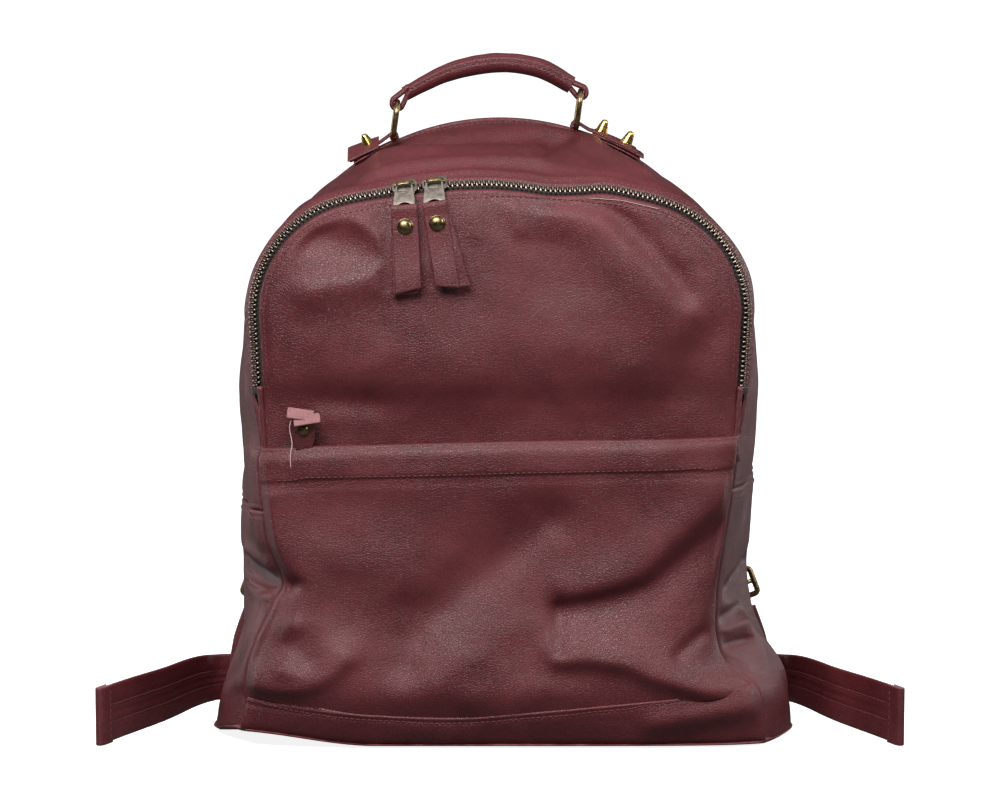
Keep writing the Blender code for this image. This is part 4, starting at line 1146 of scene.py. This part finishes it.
def make_sliders():
    for side, angle in SLIDER_ANGLES.items():
        centre, face, _, run = crown_frame(angle)
        foot = centre + face * 1.6
        slider_plate(f"slider_body_{side}", foot, face, run, f"slider_{side}", 1.0, [f"slider_{side}"])
        bridge = foot + face * 3.4
        drop = unit((0.0, -0.60, -0.80))
        pull_plate(f"pull_plate_{side}", bridge + drop * 0.4, drop, run, f"pull_{side}", 5.6, 7.2, 16.6,
                   [f"pull_{side}"])
        slot = bridge + drop * 16.4
        lean = radians(PULLER_LEANS[side])
        drop = unit((sin(lean), -0.15, -cos(lean)))
        across = unit((cos(lean), 0.0, sin(lean)))
        body = f"puller_{side}"
        out = puller_plies(f"puller_strip_{side}", slot, drop, across, body, 50.0, PULLER_WIDTHS[side],
                           PLY_FAN[side], [body])
        for name, sign, radius, nodes in (("front", 1.0, 5.2, [body + "_rivet"]), ("back", -1.0, 3.6, [])):
            turned(f"puller_{side}_rivet_{name}", slot + drop * 13.0 + out * sign * 1.5, out * sign,
                   dome(radius), "brass", body, nodes)


# ---------------------------------------------------------------- the pocket's zip

def make_pocket_zip():
    reach, middle, y, pitch = 134.0, 186.0, -68.9, 2.3
    run, face, up = np.eye(3)[0], -np.eye(3)[1], np.eye(3)[2]
    x = np.arange(-reach, reach, pitch)
    ends = np.linspace(-reach - 4.0, reach + 4.0, 60)
    for index, (name, flip) in enumerate((("upper", -1.0), ("lower", 1.0))):
        centre = at_y(np.column_stack([x + index * pitch / 2, np.full_like(x, middle)]), y)
        ways = [np.broadcast_to(way, centre.shape) for way in (face, -up, run)]
        tooth_row(f"pocket_teeth_{name}", (centre, *ways), flip, "bag", [f"pocket_zip_teeth_{name}"], 0.08,
                  (0.7, 0.62, 0.6))
        low, high = (middle + 1.6, middle + 7.5) if flip < 0 else (middle - 12.0, middle - 1.6)
        tape = np.array([[(place, y + 0.5, level) for level in np.linspace(high, low, 5)] for place in ends])
        sheet(f"pocket_tape_{name}", tape, 0.3, -0.3, "tape", stands_for=[f"pocket_zip_tape_{name}"])
    place = np.array([-125.0, y - 1.2, middle])
    slider_plate("pocket_slider_body", place, face, run, "pocket_slider", 0.62, ["pocket_slider"])
    pull_plate("pocket_pull_plate", place + face * 2.2 + up * 0.8, up, run, "pocket_slider", 3.4, 4.8, 9.4,
               ["pocket_pull"])
    make_pocket_puller(place + face * 3.2 + up * 11.4)


def make_pocket_puller(hinge):
    """A strip folded through the pull whose two ends curl over forwards and show their flesh side."""
    rise, out, across = unit((0.0, -0.12, 1.0)), unit((0.0, -1.0, -0.12)), np.eye(3)[0]
    thick, width = 1.35, 14.5
    position = across_positions(width)
    half = thick / 2 * rounding(width / 2 - np.abs(position), 0.6, 0.2)
    for index, (offset, length, aside, tilt) in enumerate(((0.9, 15.0, 2.2, 1.4), (-0.9, 18.4, -2.4, -1.2))):
        path = [(-6.0, offset * 0.8), (-2.0, offset), (length * 0.5, offset), (length, offset)]
        path += [(length + 2.0 * sin(angle), offset + 2.0 - 2.0 * cos(angle))
                 for angle in np.linspace(0.35, 2.5, 6)]
        s, o = path[-1]
        curve = dense_line(spline(path + [(s - 2.2, o + 1.6), (s - 4.4, o + 2.8)], 4), 0.7)
        grid = []
        for (s, o), share in zip(curve, np.linspace(0.0, 1.0, len(curve))):
            shift = aside * ease(share, 0.4, 1.0)
            flare = 0.72 + 0.28 * ease(share, 0.0, 0.3) + 0.16 * ease(share, 0.5, 0.9)
            grid.append([hinge + rise * (s + tilt * w / width * 2.0 * ease(share, 0.3, 0.7)) + out * o
                         + across * (w * flare + shift) for w in position])
        sheet(f"pocket_puller_ply_{index}", np.array(grid)[:, ::-1], half, -half, body="pocket_puller",
              stands_for=["pocket_puller"] if index == 0 else [])
    turned("pocket_puller_dome", hinge + rise * 6.8 + out * 1.5, out, dome(3.4), "brass", "pocket_puller",
           ["pocket_puller_rivet"])
    top = hinge + rise * 15.0 + out * 4.0 - across * 8.0
    hanging = spline([top, top + (-1.0, -0.6, -6.0), top + (0.6, -3.6, -15.0), top + (-0.4, -7.0, -22.0),
                      top + (-0.2, -8.4, -30.0)], 6)
    sweep("loose_thread_pocket", hanging, circle(0.28, 6), "pale_thread", "pocket_puller")


# ---------------------------------------------------------------- the carry handle

HANDLE_Y = 44.0
RING_X = {"left": -69.0, "right": 49.0}
RING_LIFT = 6.4
RING_RISE = (3.0, 22.0)
RING_WIRE = 1.9
TAB_REACH = {"left": 25.0, "right": 41.0}
TAB_LIFT = 3.2
STUD_X = {"stud_left": -84.0, "stud_right_inner": 65.0, "stud_right_outer": 81.0}


def top_surface(x):
    """Height of the frame's wall at HANDLE_Y over a place near the crown."""
    fraction = np.linspace(-0.45, 0.45, 91)
    points = gusset(fraction, np.full_like(fraction, 0.86))
    return np.interp(x, points[:, 0], points[:, 2])


def ring_foot(side):
    x = RING_X[side]
    return np.array([x, HANDLE_Y, top_surface(x) + RING_LIFT])


def loop_round(centre, first, second, half_first, half_second, corner, shares):
    """A rounded rectangle in space with points at `shares` of each quarter turn."""
    points = []
    for quarter, (a, b) in enumerate(((1, 1), (-1, 1), (-1, -1), (1, -1))):
        for angle in (quarter + shares) * pi / 2:
            points.append(centre + first * (a * (half_first - corner) + corner * cos(angle))
                          + second * (b * (half_second - corner) + corner * sin(angle)))
    return np.array(points)


def loop_path(centre, toward, thick, reach):
    """Centre line of a strip that goes round a ring's wire and closes up beyond it."""
    across = np.array([-toward[2], 0.0, toward[0]])
    radius = RING_WIRE + 0.25 + thick / 2
    leg = [(reach, thick / 2 + 0.05), (0.75 * reach, thick / 2 + 0.05), (2.2 * radius, thick / 2 + 0.3)]
    turn = [(-radius * cos(a), radius * sin(a)) for a in np.linspace(1.75, -1.75, 11)]
    outline = leg + turn + [(u, -v) for u, v in leg[::-1]]
    return spline([centre + toward * u + across * v for u, v in outline], 4)


def strap(name, path, aside, widths, thick, body="bag", stands_for=(), looks="leather", turn_over=False,
          dips=(), stitch=(), plump=0.0):
    """A strap along a path; `dips` and `stitch` are grooves and seams as shares of the half width."""
    path = np.asarray(path, float)
    aside = np.broadcast_to(np.asarray(aside, float), path.shape)
    widths = np.interp(np.linspace(0, 1, len(path)), np.linspace(0, 1, len(widths)), widths)
    shares = across_positions(34.0, 25) / 17.0
    reach = widths[:, None] / 2 * shares[None, :]
    run = run_along(path)
    gap = np.minimum((1 - np.abs(shares)) * widths[:, None] / 2, np.minimum(run, run[-1] - run)[:, None])
    height = thick / 2 * rounding(gap, 0.8, 0.15) + plump * (ease(gap, 3.0, 11.0) - 0.5)
    for dip in dips:
        height = height - 0.5 * np.exp(-((shares[None, :] - dip) * widths[:, None] / 2 / 1.1) ** 2)
    grid = path[:, None] + aside[:, None] * reach[..., None]
    if turn_over:
        grid, height = grid[:, ::-1], height[:, ::-1]
    surface = sheet(name, grid, height, -height, looks, body, stands_for)
    for index, place in enumerate(stitch):
        line = path + aside * (widths[:, None] / 2 * place)
        sewn(f"{name}_stitches_{index}", surface, dense_line(line[2:-2]), body, thickness=0.36)
    return surface


def dense_line(points, step=1.6):
    """The same line with a point every `step` mm."""
    run = run_along(points)
    places = np.arange(0.0, run[-1], step)
    return np.stack([np.interp(places, run, column) for column in points.T], axis=-1)


def make_handle():
    rise = np.array([RING_RISE[0], 0.0, RING_RISE[1]])
    lean = {"left": unit((0.62, 0.0, 0.785)), "right": unit((-0.80, 0.0, 0.60))}
    tops = {}
    for side in RING_X:
        foot = ring_foot(side)
        ring = loop_round(foot + rise / 2, np.array([0.0, 1.0, 0.0]), unit(rise), 12.0,
                          np.hypot(*RING_RISE) / 2, 7.0, np.arange(12) / 12)
        sweep(f"ring_wire_{side}", ring, circle(RING_WIRE, 16), "brass", f"handle_ring_{side}",
              [f"handle_ring_{side}"], closed=True, side=(1.0, 0.0, 0.0))
        tops[side] = foot + rise
    ends = {side: tops[side] + lean[side] * 7.5 for side in tops}
    hump = at_y(np.array([(-34.0, 419.5), (-4.0, 426.0), (24.0, 423.0)]), HANDLE_Y)
    make_grip(spline([ends["left"], *hump, ends["right"]], 20))
    for side in tops:
        strap(f"handle_loop_{side}", loop_path(tops[side], lean[side], 3.0, 13.0), (0.0, 1.0, 0.0),
              [10.8, 10.0, 10.8], 3.0, "handle", [f"handle_tail_{side}"], turn_over=True)


def make_grip(path):
    """The rolled leather: its upper edge laps over the lower one and is sewn down along the front."""
    lap, seam_share = radians(140.0), 0.07
    angles = 2 * pi * np.arange(48) / 48
    first = np.array([0.0, 1.0, 0.0])
    second = np.cross(unit(np.gradient(path, axis=0)), first)
    share = np.linspace(0.0, 1.0, len(path))
    step = ((angles - lap) % (2 * pi)) / (2 * pi)
    radius = 6.3 + 0.7 * np.exp(-step * 9.0) + 0.3 * np.exp(-(step / 0.12) ** 2)
    radius = radius - 0.5 * np.exp(-((step - seam_share) / 0.018) ** 2)
    taper = 0.74 + 0.26 * ease(share, 0.0, 0.4) - 0.10 * ease(share, 0.8, 1.0)
    ways = first * np.cos(angles)[:, None] + second[:, None] * np.sin(angles)[:, None]
    grid = path[:, None] + ways * (radius * taper[:, None])[..., None]
    grid += grid_normals(grid, True) * (0.25 * ripple(grid, 9.0, 2.0))[..., None]
    surface = sheet("grip_leather", grid[:, ::-1], 0.0, -1.3, body="handle", stands_for=["handle_grip"],
                    closed=True)
    sweep("grip_cord", path[3:-3], circle(3.2, 14), "cord", "handle", ["handle_cord"])
    seam = lap + seam_share * 2 * pi
    line = path + (first * cos(seam) + second * sin(seam)) * 6.8
    sewn("grip_stitches", surface, dense_line(line[3:-3]), "handle", thickness=0.36, pitch=3.0)


def make_tabs():
    """Each tab turns round its ring and lies along the top in three layers."""
    ways = (0.0, 1.0, 0.0)
    for side, sign in SIGN.items():
        centre_x, _, centre_z = ring_foot(side)
        x = centre_x + sign * np.linspace(TAB_REACH[side], 8.0, 16)
        low = at_y(np.column_stack([x, top_surface(x) + TAB_LIFT]), HANDLE_Y)
        high = (low + np.array([0.0, 0.0, 3.6]))[::-1]
        radius = RING_WIRE + 0.25 + LEATHER / 2
        turn = [(centre_x - sign * radius * sin(a), HANDLE_Y, centre_z - radius * cos(a))
                for a in np.linspace(0.1, pi - 0.1, 11)]
        path = spline(np.vstack([low, turn, high[:-1]]), 3)
        place = np.abs(np.linspace(-1.0, 1.0, len(path)))
        strap(f"ring_tab_{side}", path, ways, 10.0 + 13.0 * ease(place, 0.3, 0.75), LEATHER,
              stands_for=[f"handle_tab_{side}"], turn_over=sign < 0, stitch=(-0.8,))
        filler = low[::-1] + np.array([sign * 2.5, -0.6, 1.2])
        strap(f"ring_tab_filler_{side}", filler, ways, [12.0, 21.0, 22.0], 1.9, turn_over=sign < 0)
    end = ring_foot("left")
    flap = np.array([end + np.array([-u, -4.0, 1.0 - 0.42 * u]) for u in np.linspace(9.0, 29.0, 12)])
    strap("ring_tab_end_left", flap, unit((0.0, 0.93, 0.36)), [15.0, 19.0], 1.5)


def make_studs():
    profile = [(0.0, 0.0), (4.6, 0.0), (4.75, 0.4), (4.6, 0.9), (3.9, 1.1), (3.75, 1.7), (3.1, 4.4),
               (2.4, 7.0), (2.1, 7.9), (1.5, 8.5), (0.7, 8.8), (0.0, 8.85)]
    for name, x in STUD_X.items():
        slope = (top_surface(x + 2.0) - top_surface(x - 2.0)) / 4.0
        foot = np.array([x, HANDLE_Y, top_surface(x) + TAB_LIFT + 3.6 + LEATHER / 2])
        turned(f"cone_{name}", foot, (-slope, 0.0, 1.0), profile, "gold", stands_for=[name])


# ---------------------------------------------------------------- the shoulder straps

BACKWARDS = (0.0, 1.0, 0.0)


def cross_ways(path, facing_way):
    """Directions across a path on a surface that faces `facing_way`."""
    return unit(np.cross(unit(np.gradient(path, axis=0)), facing_way))


def make_straps():
    for side, sign in SIGN.items():
        mirror = np.array([sign, 1.0, 1.0])
        run = spline(mirror * [(38.0, 64.2, 356.0), (46.0, 73.0, 334.0), (56.0, 83.0, 300.0),
                               (84.0, 96.0, 215.0), (120.0, 90.0, 130.0), (138.0, 76.0, 98.0)], 22)
        widths = [24.0, 36.0, 48.0, 55.0, 48.0, 32.0]
        strap(f"padded_strap_{side}", run, cross_ways(run, BACKWARDS), widths, 5.6, f"shoulder_strap_{side}",
              [f"shoulder_strap_{side}"], stitch=(-0.84, 0.84), dips=(-0.84, 0.84), plump=2.2)
        make_strap_end(side, mirror)
        foot = spline(mirror * [(160.0, 63.5, 22.0), (156.0, 65.0, 46.0), (151.0, 69.0, 66.0)], 12)
        strap(f"lower_strap_leather_{side}", foot, cross_ways(foot, BACKWARDS), [34.0, 34.0, 30.0], 2.4,
              stands_for=[f"lower_strap_{side}"], looks=CUT_STRAP, stitch=(-0.85, 0.85), dips=(-0.85, 0.85))
        make_tail(side, mirror)
        make_buckle(side, sign)


def make_strap_end(side, mirror):
    """The flat tongue that carries the padded strap round the buckle's upper bar."""
    path = spline(mirror * [(137.0, 79.0, 104.0), (140.5, 77.6, 95.0), (143.4, 78.6, 88.4),
                            (144.6, 78.2, 84.0), (144.4, 75.0, 82.2), (143.4, 72.6, 86.0),
                            (140.0, 73.4, 94.0), (137.0, 74.6, 101.0)], 8)
    aside = unit((0.93, 0.0, 0.36)) * mirror
    strap(f"strap_tongue_{side}", path, aside, [27.0, 30.0, 31.0, 30.0, 27.0], 1.6, f"shoulder_strap_{side}",
          looks=CUT_STRAP)


def make_tail(side, mirror):
    """The long tail: two sewn grooves and a turned hem at its end."""
    body = f"strap_tail_{side}"
    run = spline(mirror * [(150.0, 67.5, 26.0), (179.0, 69.0, 22.5), (196.0, 46.0, 23.0),
                           (216.0, 0.0, 22.0), (238.0, -44.0, 21.2), (255.5, -80.0, 20.4)], 18)
    across = cross_ways(run, (mirror[0], 0.6, 0.0))
    strap(f"tail_leather_{side}", run, across, [28.0, 30.0, 34.0, 36.0, 37.0], 2.6, body, [body],
          looks=CUT_STRAP, stitch=(-0.28, 0.34), dips=(-0.28, 0.34, 0.02))
    end, across = run[-1], across[-1]
    out = unit(np.cross(across, end - run[-2]))
    out = out if out[1] < 0 else -out
    inward = unit(run[-5] - end)
    front = [(13.0, 2.2), (8.0, 2.3), (2.0, 2.4), (-1.6, 1.6)]
    turn = front + [(-2.4, 0.0)] + [(u, -v) for u, v in front[::-1]]
    hem = spline([end + inward * u + out * v for u, v in turn], 5)
    surface = strap(f"tail_hem_{side}", hem, across, [37.4, 37.4], 1.3, body,
                    looks=("leather", "flesh", "flesh"))
    line = end + inward * 9.0 + out * 3.0 + across * np.linspace(-16.0, 16.0, 24)[:, None]
    sewn(f"tail_hem_stitches_{side}", surface, line, body, thickness=0.36)


def make_buckle(side, sign):
    centre = np.array([sign * 147.0, 75.5, 78.0])
    down = unit((sign * 0.35, -0.2, -0.91))
    across = unit(np.cross(down, (0.0, 1.0, 0.0)))
    facing_way = np.cross(down, across)
    path = loop_round(centre, across, down, 18.9, 8.5, 2.5, np.arange(7) / 6)
    sweep(f"buckle_wire_{side}", path, circle(1.9, 14), "brass", stands_for=[f"strap_buckle_{side}"],
          closed=True, side=facing_way)
    bar = centre + np.outer(np.linspace(-17.5, 17.5, 9), across)
    sweep(f"buckle_bar_{side}", bar, circle(1.4, 12), "brass", side=facing_way)


# ---------------------------------------------------------------- studio

def camera_only(tree, strength):
    """A value that only the camera's own rays see."""
    return calc(tree, "MULTIPLY", add_node(tree, "ShaderNodeLightPath").outputs["Is Camera Ray"], strength)


def make_stage():
    """A flat floor: pale for the camera, but dim to the leather, which would mirror it as a grey veil."""
    mesh = bpy.data.meshes.new("floor")
    corners = [(-9.0, -9.0, 0.0), (9.0, -9.0, 0.0), (9.0, 9.0, 0.0), (-9.0, 9.0, 0.0)]
    mesh.from_pydata(corners, [], [(0, 1, 2, 3)])
    look, tree, shader = new_look("pale_floor", Roughness=0.9, Specular_IOR_Level=0.1,
                                  Emission_Color=(1.0, 1.0, 1.0, 1.0))
    tint = add_node(tree, "ShaderNodeTexNoise", Scale=2.0).outputs["Fac"]
    seen = ramp(tree, tint, [(0.0, (0.82, 0.82, 0.825)), (1.0, (0.85, 0.85, 0.85))])
    feed(tree, shader, Base_Color=mix(tree, camera_only(tree, 1.0), (0.13, 0.13, 0.13, 1.0), seen),
         Emission_Strength=camera_only(tree, 0.88))
    mesh.materials.append(look)
    floor = bpy.data.objects.new("floor", mesh)
    floor.location.z = -0.0006
    bpy.context.scene.collection.objects.link(floor)


def add_light(name, place, size, power):
    """A soft box that faces the middle of the bag."""
    data = bpy.data.lights.new(name, "AREA")
    data.shape = "RECTANGLE"
    data.size, data.size_y = size
    data.energy = power
    lamp = bpy.data.objects.new(name, data)
    lamp.location = place
    lamp.rotation_euler = (Vector((0.0, 0.0, 0.2)) - Vector(place)).to_track_quat("-Z", "Y").to_euler()
    bpy.context.scene.collection.objects.link(lamp)


def make_world():
    """A white sky for the camera; for the bag it is bright above and dim at eye level."""
    world = bpy.data.worlds.new("studio")
    bpy.context.scene.world = world
    world.use_nodes = True
    tree = world.node_tree
    way = add_node(tree, "ShaderNodeTexCoord").outputs["Generated"]
    rise = add_node(tree, "ShaderNodeSeparateXYZ", Vector=way).outputs["Z"]
    sky = remap(tree, rise, smooth=True, From_Min=0.45, From_Max=1.0, To_Min=0.07, To_Max=0.6)
    background = tree.nodes["Background"]
    background.inputs["Color"].default_value = (1.0, 1.0, 1.0, 1.0)
    tree.links.new(calc(tree, "MAXIMUM", sky, camera_only(tree, 1.0)), background.inputs["Strength"])


def make_studio():
    make_stage()
    make_world()
    add_light("key_softbox", (-0.4, -1.2, 1.5), (1.2, 0.8), 40.0)
    add_light("right_softbox", (1.1, -0.6, 1.1), (0.5, 0.5), 9.0)
    add_light("left_back_strip", (-1.3, 0.7, 0.5), (0.3, 1.0), 6.0)
    add_light("right_back_strip", (1.3, 0.9, 0.5), (0.3, 1.0), 6.0)
    bpy.context.scene.view_settings.view_transform = "Standard"


def make_camera():
    """A long lens, eight degrees above the level of the bag's middle."""
    rise, away, wide = radians(8.0), 9.0, 0.638
    target = Vector((0.0, -0.060, 0.2216))
    data = bpy.data.cameras.new("camera")
    data.lens = data.sensor_width * away / wide
    camera = bpy.data.objects.new("camera", data)
    camera.location = target + Vector((0.0, -cos(rise), sin(rise))) * away
    camera.rotation_euler = (target - camera.location).to_track_quat("-Z", "Y").to_euler()
    bpy.context.scene.collection.objects.link(camera)
    bpy.context.scene.camera = camera


make_walls()
make_seam_cores()
make_front()
make_pocket()
make_band()
make_back()
make_yoke()
make_base()
make_chain()
make_tapes()
make_stops()
make_sliders()
make_pocket_zip()
make_handle()
make_tabs()
make_studs()
make_straps()
make_studio()
make_camera()
